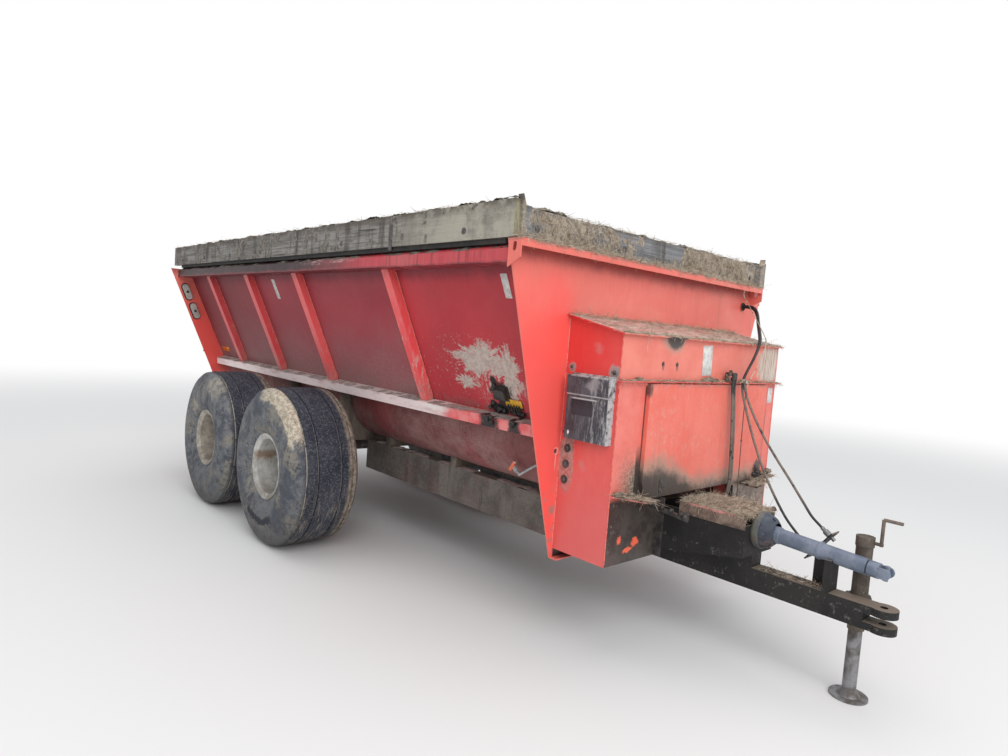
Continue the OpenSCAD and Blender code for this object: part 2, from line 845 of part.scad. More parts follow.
// The cover's outline, drawn in by an inset
module cover_outline(inset) {
    corner = 24;
    low = cover_low + inset;
    right = cover_right - inset;
    left = cover_left - inset;
    polygon([
        [-right, cover_high - inset], [-right, low + 90], [-right + corner, low],
        [left - 60, low + 8], [left, low + 40], [left, cover_high - inset]
    ]);
}

box_x = 56;
box_w = 268;
box_low = 1097;
box_high = 1418;
box_deep = 42;
lid_h = 95;

module document_box() {
    pocket = 4;
    color(black) placed() difference() {
        translate([box_x, -housing_right - box_deep, box_low])
            cube([box_w, box_deep, box_high - box_low - lid_h]);
        translate([box_x + 6, -housing_right - box_deep + 6, box_low + 6])
            cube([box_w - 12, box_deep - 12, 400]);
        translate([box_x + 34, -housing_right - box_deep - 1, box_low + 124]) cube([134, pocket + 1, 76]);
    }
}

module document_lid() {
    barrel_r = 3.8;
    barrel_y = -housing_right - 4;
    color(black) placed() {
        difference() {
            translate([box_x - 3, -housing_right - box_deep - 3, box_high - lid_h + 0.5])
                cube([box_w + 6, box_deep + 2.5, lid_h - 0.5]);
            translate([box_x + 3, -housing_right - box_deep + 3, box_high - lid_h - 10])
                cube([box_w - 6, box_deep - 6, lid_h + 4]);
        }
        rod_x(box_x, barrel_y, box_high + 4, box_w, barrel_r);
        translate([box_x, barrel_y - barrel_r, box_high - 1]) cube([box_w, 2 * barrel_r, 5]);
    }
}

module tongue() {
    box_in = 10;
    web_low = 590;
    foot_front = 575;
    clevis_gap = 40;
    color(grime) placed() {
        difference() {
            along_y(-tongue_half, 2 * tongue_half) polygon([
                [0, beam_low], [housing_depth, 495], [tongue_front, 570], [tongue_front, tongue_top],
                [0, tongue_top]
            ]);
            translate([200, -tongue_half + box_in, web_low])
                cube([tongue_front - plate_t - 200, 2 * (tongue_half - box_in), tongue_top - web_low + 10]);
            on_drive() rod_x(-50, 0, 0, 100, drive_r + run_gap);
        }
        difference() {
            translate([rest_x - 15, -nose_half, nose_low + nose_h]) cube([30, 2 * nose_half, 150]);
            on_drive() rod_x(300, 0, 0, 200, guard_r + seat);
            translate([rest_x - 20, -2 * nose_half, drive_z - 10]) cube([40, 4 * nose_half, 100]);
        }
        difference() {
            union() {
                translate([0, -nose_half, nose_low]) cube([hitch_x, 2 * nose_half, nose_h]);
                translate([hitch_x, 0, nose_low]) cylinder(h = nose_h, r = nose_reach - hitch_x);
            }
            translate([hitch_x, 0, nose_low - 10]) cylinder(h = nose_h + 20, r = hitch_r);
            translate([hitch_x - 70, -2 * nose_half, nose_low + (nose_h - clevis_gap) / 2])
                cube([200, 4 * nose_half, clevis_gap]);
        }
        along_y(-nose_half, 2 * nose_half) polygon([
            [300, nose_low + nose_h], [tongue_front, nose_low + nose_h], [tongue_front, foot_front], [300, 492]
        ]);
        hose_holder();
    }
}

// A dock's place on the holder, with its axis pointing back up the hose
module at_dock(index) {
    translate(dock_start) rotate([0, -dock_lean, 0]) translate([index * dock_gap, 0, 0]) children();
}

module hose_holder() {
    end = 36;
    width = 90;
    leg_x = nose_reach - 400;
    leg_w = 50;
    difference() {
        at_dock(0) translate([-end, nose_half - dock_y, -holder_t]) cube([dock_gap + 2 * end, width, holder_t]);
        for (index = [0, 1]) at_dock(index) translate([0, 0, -20]) cylinder(h = 40, r = dock_bore);
    }
    translate([leg_x, nose_half, nose_low + 25]) cube([leg_w, holder_t, dock_start[2] + 28 - nose_low]);
}

module tongue_cover() {
    skin = 5;
    top = tongue_top + 41;
    start = housing_depth + 12;
    skirt = 20;
    cover_len = tongue_front - start;
    color(red) placed() {
        translate([start, -tongue_half - skin, top]) cube([cover_len, 2 * (tongue_half + skin), skin]);
        both_sides() translate([start, tongue_half, tongue_top - skirt])
            cube([cover_len, skin, top - tongue_top + skirt]);
    }
}

// The drive runs forward from the tongue box, falling a little
module on_drive() {
    translate([tongue_front, 0, drive_z]) rotate([0, drive_drop, 0]) children();
}

module drive_bell() {
    color(steel) placed() translate([tongue_front, 0, drive_z]) rotate([0, 90, 0]) difference() {
        rotate_extrude($fn = fine) polygon([
            [32, seat], [92, seat], [95, 10], [95, 28], [88, 35], [86, 46], [74, 72], [54, 92],
            [50, 92], [50, 88], [69, 68], [80, 44], [82, 32], [89, 25], [89, 12], [86, 6], [32, 6]
        ]);
        for (turn = [10, 150, 190, 330]) rotate(turn) translate([40, -6, 66]) cube([60, 12, 17]);
    }
}

module drive_guard() {
    bush_r = drive_r + seat;
    wall = 4;
    color(steel) placed() on_drive() rotate([0, 90, 0]) rotate_extrude() polygon([
        [bush_r, 60], [guard_r + 4, 60], [guard_r + 4, 112], [guard_r, 116], [guard_r, 300],
        [guard_r + 5, 304], [guard_r + 5, 316], [guard_r, 320], [guard_r, 520], [bush_r, 520],
        [bush_r, 500], [guard_r - wall, 500], [guard_r - wall, 80], [bush_r, 80]
    ]);
}

module drive_shaft() {
    shaft_len = 560;
    collar_r = 36;
    ear_gap = 22;
    color(steel) placed() on_drive() {
        rod_x(-40, 0, 0, shaft_len + 40, drive_r);
        rod_x(shaft_len - 34, 0, 0, 46, collar_r);
        for (side = [-1, 1]) translate([shaft_len + 10, side * (ear_gap + 6) - 6, 0]) {
            translate([0, 0, -24]) cube([30, 12, 48]);
            rod_y(30, 0, 0, 12, 24);
        }
        rod_y(shaft_len + 40, -ear_gap - 10, 0, 2 * ear_gap + 20, 11);
        translate([shaft_len + 40, 0, -34]) cylinder(h = 68, r = 11);
    }
}

jack_x = nose_reach - 200;
jack_r = 31;
jack_y = nose_half + jack_r + 20;
jack_low = 330;
leg_top = jack_low + 120;
jack_high = leg_top + jack_travel + 30;

module jack_tube() {
    wall = 6;
    head_h = 46;
    crank_x = jack_r + 38;
    crank_z = jack_high + head_h / 2;
    collar_zs = [nose_low + 8, nose_low + nose_h - 22];
    reach = jack_y - nose_half;
    color(grime) placed() translate([jack_x, jack_y, 0]) {
        difference() {
            union() {
                translate([0, 0, jack_low]) cylinder(h = jack_high - jack_low, r = jack_r + wall);
                for (z = collar_zs) translate([0, 0, z]) linear_extrude(14) {
                    circle(jack_r + wall + 12);
                    translate([-jack_r - 24, -reach]) square([2 * jack_r + 48, reach]);
                }
                translate([-jack_r - 24, -reach, collar_zs[0]])
                    cube([2 * jack_r + 48, 12, collar_zs[1] + 14 - collar_zs[0]]);
            }
            translate([0, 0, jack_low - 10]) cylinder(h = jack_high - jack_low, r = jack_r + run_gap);
        }
        translate([0, 0, jack_high]) cylinder(h = head_h, r = jack_r + wall + 4);
        rod_x(jack_r, 0, crank_z, 46, 8);
        translate([crank_x, 0, crank_z - 8]) cylinder(h = 126, r = 8);
        rod_x(crank_x, 0, crank_z + 118, 80, 8);
    }
}

module jack_leg() {
    foot_t = 10;
    color(steel) placed() translate([jack_x, jack_y, 0]) {
        translate([0, 0, foot_t]) cylinder(h = leg_top - foot_t, r = jack_r);
        cylinder(h = foot_t, r = 85);
        cylinder(h = 40, r1 = 60, r2 = jack_r);
    }
}

module rear_lamps() {
    color(off_white) placed() both_sides() for (z = lamp_zs)
        on_wing(z) {
            along_x(-14, 50) oval(lamp_half, lamp_r);
            along_x(wall_t + seat, 7) oval(lamp_half, lamp_r + 9);
            along_x(-7 - seat, 7) oval(lamp_half, lamp_r + 9);
        }
}

// A bank of grease points low on the right side sheet, with its lines
module grease_bank() {
    points = 5;
    point_r = 5;
    pad = [110, 8, 90];
    block = [90, 26, 60];
    bar = [120, 6, 40];
    point_gap = 19;
    line_gap = 22;
    line_len = 60;
    color(steel) placed() mirror([0, 1, 0]) {
        on_slope(1262) translate([-500, 0, 0]) {
            translate([0, seat, -pad[2] / 2]) cube(pad);
            translate([10, pad[1], -block[2] / 2]) cube(block);
            for (index = [0 : points - 1])
                translate([18 + index * point_gap, 20, block[2] / 2]) cylinder(h = 12, r = point_r);
        }
        on_slope(1170) translate([-420, 0, 0]) {
            translate([0, seat, 15]) cube(bar);
            for (index = [0 : points - 1])
                translate([10 + index * line_gap, bar[1] + point_r, -20]) cylinder(h = line_len, r = point_r);
        }
    }
}

// A bent rod with a knob, beside the frame beam behind the front wall
module crank_rod() {
    rod = 7;
    rod_y = -640;
    corner = [-266, 877];
    bend = [-389, 799];
    grip = [-450, 842];
    slope = atan2(corner[1] - bend[1], corner[0] - bend[0]);
    lean = atan2(grip[1] - bend[1], grip[0] - bend[0]);
    neck_len = norm(grip - bend);
    color(steel) placed() translate([0, rod_y, 0]) {
        translate([corner[0], 0, corner[1]]) rotate([0, 90, 0]) cylinder(h = -corner[0] - wall_t, r = rod);
        translate([corner[0], 0, corner[1]]) sphere(rod + 1);
        translate([bend[0], 0, bend[1]]) {
            sphere(rod + 1);
            rotate([0, 90 - slope, 0]) cylinder(h = norm(corner - bend), r = rod);
            rotate([0, 90 - lean, 0]) {
                cylinder(h = neck_len, r = rod);
                translate([0, 0, neck_len - 46]) cylinder(h = 36, r = 14);
                translate([-34, 0, neck_len]) rotate([0, 90, 0]) cylinder(h = 68, r = 11);
            }
        }
    }
}

// The hoses' routes: each list holds points along one hose, from where it leaves the object
over_housing = [
    [45, 950, 1891], [95, 934, 1877], [145, 884, 1838], [210, 782, 1778], [280, 668, 1727],
    [335, 576, 1690], [372, 510, 1660], [394, 455, 1612], [399, 395, 1538], [398, 345, 1477], [405, 300, 1423]
];
tie_place = over_housing[len(over_housing) - 1];
beside = [12, -9, 10];
// The end of a hose, in its coupler's top over a dock, counted from the first dock
function dock_end(x, z) = [dock_start[0] + x, dock_y, dock_start[2] + z];
// The points at shares of the way from a hose's tie to its end
function onward(start, end, shares) =
    [for (s = shares) [for (k = [0 : 2]) start[k] + (end[k] - start[k]) * s[k]]];
supply_route = concat([[grommet_t, 950, 1891]], over_housing, onward(tie_place, dock_end(-44, 33), [
    [0.048, 0.164, 0.090], [0.134, 0.282, 0.215], [0.259, 0.421, 0.387], [0.403, 0.564, 0.559],
    [0.576, 0.728, 0.724], [0.758, 0.897, 0.865], [0.889, 0.985, 0.942], [0.9539, 1, 0.9762], [1, 1, 1]
]));
return_route = concat([[grommet_t, 941, 1901]], [for (point = over_housing) point + beside],
    onward(tie_place + beside, dock_end(28, 129), [
        [0.057, 0.140, 0.106], [0.160, 0.247, 0.255], [0.306, 0.376, 0.422], [0.470, 0.527, 0.574],
        [0.642, 0.694, 0.717], [0.797, 0.871, 0.847], [0.897, 0.979, 0.931], [0.9587, 1, 0.9732], [1, 1, 1]
    ]));
drop_route = [
    [395, 212, 1430], [395, 212, 1390], [397, 216, 1330], [400, 224, 1250], [402, 235, 1150],
    [402, 246, 1050], [401, 257, 950], [398, 266, 870], [389, 273, 805], [370, 278, 752],
    [335, 282, 708], [285, 284, 678], [220, 286, 661], [130, 286, 655], [30, 286, 655]
];
twine_route = [
    [82, 813, 1994], [82, 813, 1955], [150, 768, 1888], [260, 690, 1780], [350, 610, 1700],
    [400, 540, 1655], [428, 455, 1570], [433, 370, 1485], [436, 310, 1425], [434, 300, 1385],
    [428, 304, 1310], [424, 312, 1190], [422, 320, 1050], [421, 328, 910], [420, 334, 770]
];
hose_r = 6.5;
drop_r = 7.5;
twine_r = 2.5;

function unit(v) = v / norm(v);
// The direction along a route at one of its points
function heading(route, i) = unit(route[min(i + 1, len(route) - 1)] - route[max(i - 1, 0)]);
// One side direction for each ring, each as close to the ring before as it can be
function sides(route, i = 0, before = [0, 0.31, 0.95]) =
    i == len(route) ? [] :
    let (t = heading(route, i), side = unit(before - (before * t) * t)) concat([side], sides(route, i + 1, side));

// A tube of eight sides swept along a route
module swept(route, r) {
    count = 8;
    rings = len(route);
    side = sides(route);
    points = [for (i = [0 : rings - 1], k = [0 : count - 1])
        route[i] + r * (cos(k * 360 / count) * side[i] + sin(k * 360 / count) * cross(heading(route, i), side[i]))];
    walls = [for (i = [0 : rings - 2], k = [0 : count - 1])
        let (a = i * count + k, b = i * count + (k + 1) % count) [a, a + count, b + count, b]];
    ends = [[for (k = [0 : count - 1]) k], [for (k = [count - 1 : -1 : 0]) (rings - 1) * count + k]];
    polyhedron(points, concat(walls, ends));
}

// A coupler stands in its dock on its shoulder, with its tip through the bore
module coupler(index) {
    tip_r = 9;
    body_r = 15;
    neck_r = 10;
    color(steel) placed() at_dock(index) {
        translate([0, 0, -26]) cylinder(h = 27, r = tip_r);
        translate([0, 0, seat]) cylinder(h = 34, r = body_r);
        translate([0, 0, 30]) cylinder(h = coupler_h - 30, r = neck_r);
    }
}
coupler_h = 55;

right_side_sheet();
left_side_sheet();
trough();
front_wall();
rear_wall();
top_rails();
lower_rails();
side_ribs();
side_boards();
end_boards();
rubber_strips();
frame_beams();
cross_members();
saddle();
walking_beams();
pivot_shaft();
color(black) wheel_place(-1, 1) tyre_shape();  // front_right_tyre
color(off_white) wheel_place(-1, 1) rim_shape();  // front_right_rim
color(black) wheel_place(1, 1) tyre_shape();  // front_left_tyre
color(off_white) wheel_place(1, 1) rim_shape();  // front_left_rim
color(black) wheel_place(-1, -1) tyre_shape();  // rear_right_tyre
color(off_white) wheel_place(-1, -1) rim_shape();  // rear_right_rim
color(black) wheel_place(1, -1) tyre_shape();  // rear_left_tyre
color(off_white) wheel_place(1, -1) rim_shape();  // rear_left_rim
auger_tube(-1);  // right_auger_tube
right_auger_flight();
auger_tube(1);  // left_auger_tube
left_auger_flight();
bearings();
expeller_rotor();
expeller_hammers();
expeller_shell();
discharge_hood();
discharge_door();
door_cylinder();
door_rod();
housing_shell();
housing_cover();
document_box();
document_lid();
tongue();
tongue_cover();
drive_bell();
drive_guard();
drive_shaft();
jack_tube();
jack_leg();
rear_lamps();
grease_bank();
crank_rod();
color(black) placed() swept(supply_route, hose_r);  // supply_hose
color(black) placed() swept(return_route, hose_r);  // return_hose
color(black) placed() swept(drop_route, drop_r);  // inner_drop_hose
color(black) placed() translate([0, drop_gap, 0]) swept(drop_route, drop_r);  // outer_drop_hose
color(wood) placed() swept(twine_route, twine_r);  // tie_twine
coupler(0);  // supply_coupler
coupler(1);  // return_coupler
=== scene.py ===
"""A towed side-discharge manure spreader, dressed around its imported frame.

Metres, with +X forward to the hitch, +Y to the machine's left and +Z up from the ground.
"""

import math
import random

import bmesh
import bpy
import numpy as np
from mathutils import Matrix, Vector, noise


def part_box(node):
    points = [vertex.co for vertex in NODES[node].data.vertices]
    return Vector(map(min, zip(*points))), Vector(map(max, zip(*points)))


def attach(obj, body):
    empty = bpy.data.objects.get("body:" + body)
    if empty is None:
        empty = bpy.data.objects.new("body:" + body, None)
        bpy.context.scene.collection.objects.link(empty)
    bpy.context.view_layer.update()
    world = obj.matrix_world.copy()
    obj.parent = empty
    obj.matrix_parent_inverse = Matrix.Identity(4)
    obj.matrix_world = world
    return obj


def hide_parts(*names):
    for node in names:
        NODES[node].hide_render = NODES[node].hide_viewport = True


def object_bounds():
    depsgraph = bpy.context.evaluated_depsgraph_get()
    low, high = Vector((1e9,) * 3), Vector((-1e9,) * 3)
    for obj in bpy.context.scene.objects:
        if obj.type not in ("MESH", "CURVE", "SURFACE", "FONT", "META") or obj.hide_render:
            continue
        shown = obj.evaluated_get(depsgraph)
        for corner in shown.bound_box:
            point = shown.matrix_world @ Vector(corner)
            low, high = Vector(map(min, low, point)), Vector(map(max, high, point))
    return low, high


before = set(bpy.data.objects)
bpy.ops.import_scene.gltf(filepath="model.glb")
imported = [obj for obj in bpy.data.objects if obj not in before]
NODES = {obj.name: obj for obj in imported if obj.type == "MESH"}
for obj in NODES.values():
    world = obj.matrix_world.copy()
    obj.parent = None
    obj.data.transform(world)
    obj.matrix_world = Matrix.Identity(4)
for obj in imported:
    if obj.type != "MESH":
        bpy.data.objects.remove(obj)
cad_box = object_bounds()

# The front wall's face, from which places along X are counted
WALL_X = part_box("housing_shell")[0].x


def vec(*parts):
    return Vector(parts)


def at(x, y, z):
    """A place in the row frame, with x counted forward from the front wall's face."""
    return vec(WALL_X + x, y, z)


# Sizes that several pieces share, in metres; those along X count from the front wall's face
WHEELS_MIDDLE, AXLE_REACH, AXLE_HIGH, WHEEL_Y = -2.777, 0.617, 0.551, 1.166
SHEET_SLOPE, SHEET_TOP_Y, SHEET_TOP_Z = 0.4491, 1.062, 1.922
RIB_BACKS = (1.158, 2.423, 3.359, 4.282)
HOUSING_FRONT, HOUSING_RIGHT, HOUSING_LEFT = 0.345, -0.745, 0.815
SIDES = (-1, 1)

# Camera: the place and angles of the photograph's view

CAMERA_PLACE = at(2.298, -3.258, 1.586)
CAMERA_YAW = math.radians(47.73)
CAMERA_DOWN = math.radians(3.7)
CAMERA_ROLL = math.radians(4.36)
FOCAL_PIXELS = 665.5
FRAME_PIXELS = 1008
SENSOR_MM = 36.0


def make_camera():
    data = bpy.data.cameras.new("camera")
    data.sensor_width = SENSOR_MM
    data.lens = FOCAL_PIXELS / FRAME_PIXELS * SENSOR_MM
    data.clip_end = 200
    obj = bpy.data.objects.new("camera", data)
    bpy.context.scene.collection.objects.link(obj)
    ahead = Vector((
        -math.sin(CAMERA_YAW) * math.cos(CAMERA_DOWN),
        math.cos(CAMERA_YAW) * math.cos(CAMERA_DOWN),
        -math.sin(CAMERA_DOWN),
    ))
    right = Vector((math.cos(CAMERA_YAW), math.sin(CAMERA_YAW), 0))
    up = right.cross(ahead)
    rolled_right = right * math.cos(CAMERA_ROLL) + up * math.sin(CAMERA_ROLL)
    rolled_up = up * math.cos(CAMERA_ROLL) - right * math.sin(CAMERA_ROLL)
    turn = Matrix((rolled_right, rolled_up, -ahead)).transposed()
    obj.matrix_world = Matrix.Translation(CAMERA_PLACE) @ turn.to_4x4()
    bpy.context.scene.camera = obj


make_camera()


# Mesh building

# A crust's sheet goes at most this deep under its patch, and is left out where it does
SUNK = 0.0015
STRAW_THICK = 0.0011


def side_axes(normal):
    """Two directions across a normal."""
    side = Vector(normal).cross(vec(0, 0, 1))
    if side.length < 0.01:
        side = vec(0, 1, 0)
    side.normalize()
    return side, Vector(normal).cross(side).normalized()


def spline(points, steps=4):
    """A smooth line through the points."""
    points = [Vector(p) for p in points]
    ends = [2 * points[0] - points[1]] + points + [2 * points[-1] - points[-2]]
    line = []
    for i in range(1, len(ends) - 2):
        a, b, c, d = ends[i - 1:i + 3]
        for k in range(steps):
            t = k / steps
            line.append(0.5 * ((2 * b) + (c - a) * t + (2 * a - 5 * b + 4 * c - d) * t * t
                               + (3 * b - a - 3 * c + d) * t ** 3))
    return line + [points[-1]]


def line_length(line):
    return sum((b - a).length for a, b in zip(line, line[1:]))


def ring_faces(rows, sides):
    """Faces round a piece between its rows of points, then one over each end."""
    faces = []
    for i in range(rows - 1):
        for k in range(sides):
            a, b = i * sides + k, i * sides + (k + 1) % sides
            faces.append((a, b, b + sides, a + sides))
    faces.append(tuple(range(sides - 1, -1, -1)))
    faces.append(tuple((rows - 1) * sides + k for k in range(sides)))
    return faces


class Shape:
    """Points and faces gathered for one piece; each face has the number of its material."""

    def __init__(self):
        self.points = []
        self.faces = []
        self.kinds = []

    def add(self, points, faces, kind=0):
        start = len(self.points)
        self.points.extend(tuple(p) for p in points)
        self.faces.extend(tuple(start + i for i in face) for face in faces)
        self.kinds.extend([kind] * len(faces))

    def tube(self, line, radius, sides, kind=0):
        """A tube along a line; radius is a number or a function of the share of the way."""
        line = [Vector(p) for p in line]
        side = side_axes((line[1] - line[0]).normalized())[0]
        points = []
        for i, place in enumerate(line):
            ahead = (line[min(i + 1, len(line) - 1)] - line[max(i - 1, 0)]).normalized()
            side = (side - ahead * side.dot(ahead)).normalized()
            across = ahead.cross(side)
            r = radius(i / (len(line) - 1)) if callable(radius) else radius
            for k in range(sides):
                turn = 2 * math.pi * k / sides
                points.append(place + r * (math.cos(turn) * side + math.sin(turn) * across))
        self.add(points, ring_faces(len(line), sides), kind)

    def turned(self, place, normal, profile, sides, kind=0, start=0.0):
        """A profile of (radius, height) pairs turned round a normal."""
        normal = Vector(normal).normalized()
        u, v = side_axes(normal)
        points, faces = [], []
        for r, h in profile:
            for k in range(sides):
                turn = 2 * math.pi * (k + start) / sides
                points.append(Vector(place) + normal * h + r * (math.cos(turn) * u + math.sin(turn) * v))
        for i in range(len(profile) - 1):
            for k in range(sides):
                a, b = i * sides + k, i * sides + (k + 1) % sides
                faces.append((a, a + sides, b + sides, b))
        faces.append(tuple(range(sides)))
        faces.append(tuple((len(profile) - 1) * sides + k for k in range(sides - 1, -1, -1)))
        self.add(points, faces, kind)

    def bolt(self, place, normal, r, washer=0, head=0, start=0.0):
        """A hexagon bolt's head on its washer."""
        self.turned(place, normal,
                    [(r * 1.55, 0), (r * 1.55, r * 0.16), (r * 1.48, r * 0.22), (r * 0.9, r * 0.22)],
                    16, washer)
        self.turned(Vector(place) + Vector(normal).normalized() * r * 0.2, normal,
                    [(r, 0), (r, r * 0.52), (r * 0.86, r * 0.66), (r * 0.4, r * 0.68)], 6, head, start)

    def plate(self, outline, thickness, place, u, v, round_to):
        """A flat outline with rounded corners in the directions u and v, thickened along u x v."""
        u, v = Vector(u).normalized(), Vector(v).normalized()
        n = u.cross(v)
        outline = rounded(outline, round_to)
        count = len(outline)
        edge = min(thickness * 0.4, 0.001)
        middle = [sum(p[i] for p in outline) / count for i in (0, 1)]
        points = []
        for lift, inset in ((0, 0), (thickness - edge, 0), (thickness, edge)):
            for a, b in outline:
                reach = math.hypot(a - middle[0], b - middle[1]) or 1
                points.append(Vector(place) + u * (a - (a - middle[0]) / reach * inset)
                              + v * (b - (b - middle[1]) / reach * inset) + n * lift)
        self.add(points, ring_faces(3, count))

    def clod(self, place, size, seed, kind=0, rough=0.35, level=2):
        """A lumpy clod, with size a number or three."""
        size = Vector((size,) * 3) if isinstance(size, (int, float)) else Vector(size)
        bm = bmesh.new()
        bmesh.ops.create_icosphere(bm, subdivisions=level, radius=1)
        for vertex in bm.verts:
            lift = noise.fractal(vertex.co * 1.3 + vec(seed * 7.1, seed * 3.3, seed), 0.7, 2.1, 4)
            vertex.co *= 1 + rough * lift
            vertex.co = Vector(a * b for a, b in zip(vertex.co, size))
        self.add([Vector(place) + v.co for v in bm.verts],
                 [[v.index for v in f.verts] for f in bm.faces], kind)
        bm.free()

    def crust(self, place, u, v, up, height, cover, step, scale, edge, kind=0, thin=None):
        """Dirt on a flat patch: a bumpy sheet that shows where its noise lifts it out of the patch."""
        place, u, v, up = Vector(place), Vector(u), Vector(v), Vector(up).normalized()
        wide, long = max(2, int(u.length / step)), max(2, int(v.length / step))
        points, heights = [], []
        for i in range(wide + 1):
            for j in range(long + 1):
                a, b = i / wide, j / long
                spot = place + u * a + v * b
                border = min(a, 1 - a) * u.length, min(b, 1 - b) * v.length
                fade = min(1.0, min(border) / edge) if edge else 1.0
                lift = noise.fractal(spot * scale, 0.75, 2.1, 5) * 0.9 + (cover - 0.5) * 1.6
                lift += 0.22 * noise.noise(spot * scale * 9) + 0.1 * noise.noise(spot * scale * 24)
                if thin:
                    lift -= thin(a, b)
                lift = lift * height - (1 - fade) * height * 0.5
                heights.append(lift)
                points.append(spot + up * max(lift, -SUNK))
        faces = []
        for i in range(wide):
            for j in range(long):
                a = i * (long + 1) + j
                quad = (a, a + long + 1, a + long + 2, a + 1)
                if max(heights[k] for k in quad) > -SUNK:
                    faces.append(quad)
        if u.cross(v).dot(up) < 0:
            faces = [tuple(reversed(f)) for f in faces]
        used = sorted({k for f in faces for k in f})
        number = {old: new for new, old in enumerate(used)}
        self.add([points[k] for k in used], [tuple(number[k] for k in f) for f in faces], kind)

    def strew(self, rng, count, place, u, v, up, length, lift, hang=0.0, kind=0, along=None):
        """Bent straws lying over a flat patch; those that hang follow gravity over an edge."""
        a, b = rng.random((count, 1)), rng.random((count, 1))
        spots = np.array(place) + a * np.array(u) + b * np.array(v)
        normals = np.tile(np.array(up, float), (count, 1))
        normals /= np.linalg.norm(normals, axis=1)[:, None]
        ahead = rng.normal(size=(count, 3))
        if along is not None:
            ahead += np.asarray(along, float) * 2.2
        ahead -= normals * np.sum(ahead * normals, axis=1)[:, None]
        ahead /= np.linalg.norm(ahead, axis=1)[:, None]
        ahead += normals * rng.uniform(-0.05, 0.3, (count, 1))
        reach = rng.uniform(length[0], length[1], (count, 1))
        bend = rng.normal(size=(count, 3)) * 0.22 * reach
        bend[:, 2] -= hang * reach[:, 0]
        middle = spots + normals * rng.uniform(0.001, lift, (count, 1))
        line = [middle - ahead * reach * 0.5, middle + bend * 0.2, middle + ahead * reach * 0.5 + bend]
        thick = STRAW_THICK * rng.uniform(0.6, 1.6, (count, 1))
        side = np.cross(ahead, normals)
        side /= np.linalg.norm(side, axis=1)[:, None]
        over = np.cross(side, ahead)
        points = np.zeros((count, 9, 3))
        for i, place in enumerate(line):
            for k in range(3):
                turn = 2 * math.pi * k / 3
                r = thick * (0.6 if i != 1 else 1.0)
                points[:, i * 3 + k] = place + r * (math.cos(turn) * side + math.sin(turn) * over * 0.7)
        pattern = ring_faces(3, 3)[:-2]
        start = len(self.points)
        self.points.extend(map(tuple, points.reshape(-1, 3)))
        for n in range(count):
            base = start + n * 9
            self.faces.extend((base + a, base + b, base + c, base + d) for a, b, c, d in pattern)
        self.kinds.extend([kind] * (count * len(pattern)))

    def made(self, name, materials, slot, body="root", sharp=None):
        mesh = bpy.data.meshes.new(name)
        low, high = cad_box
        points = [[min(max(c, a), b) for c, a, b in zip(point, low, high)] for point in self.points]
        mesh.from_pydata(points, [], self.faces)
        mesh.polygons.foreach_set("material_index", self.kinds)
        mesh.polygons.foreach_set("use_smooth", [True] * len(self.faces))
        for material in materials:
            mesh.materials.append(material)
        mesh.update()
        obj = bpy.data.objects.new(name, mesh)
        bpy.context.scene.collection.objects.link(obj)
        if sharp:
            mesh.set_sharp_from_angle(angle=math.radians(sharp))
        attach(obj, body)
        return obj


def rounded(outline, reach):
    """The outline with each corner cut by a small arc of three points."""
    count = len(outline)
    result = []
    for i in range(count):
        before, here, after = (Vector(outline[(i + k) % count]) for k in (-1, 0, 1))
        a = here + (before - here).normalized() * reach
        b = here + (after - here).normalized() * reach
        result += [tuple(a), tuple((a + b) / 4 + here / 2), tuple(b)]
    return result


def oblong(wide, high):
    """A rectangle round its own middle."""
    return [(-wide / 2, -high / 2), (wide / 2, -high / 2), (wide / 2, high / 2), (-wide / 2, high / 2)]


# Materials


# The numbers of the axes
X, Y, Z = range(3)


class Field:
    """A value from a material's nodes, for +, -, *, abs, | (the greater) and ~ (one minus it)."""

    def __init__(self, finish, socket):
        self.finish = finish
        self.socket = socket

    def __add__(self, other):
        return self.finish.calc("ADD", self, other)

    def __sub__(self, other):
        return self.finish.calc("SUBTRACT", self, other)

    def __mul__(self, other):
        return self.finish.calc("MULTIPLY", self, other)

    def __or__(self, other):
        return self.finish.calc("MAXIMUM", self, other)

    def __abs__(self):
        return self.finish.calc("ABSOLUTE", self)

    def __invert__(self):
        return self.finish.calc("SUBTRACT", 1.0, self, clamp=True)


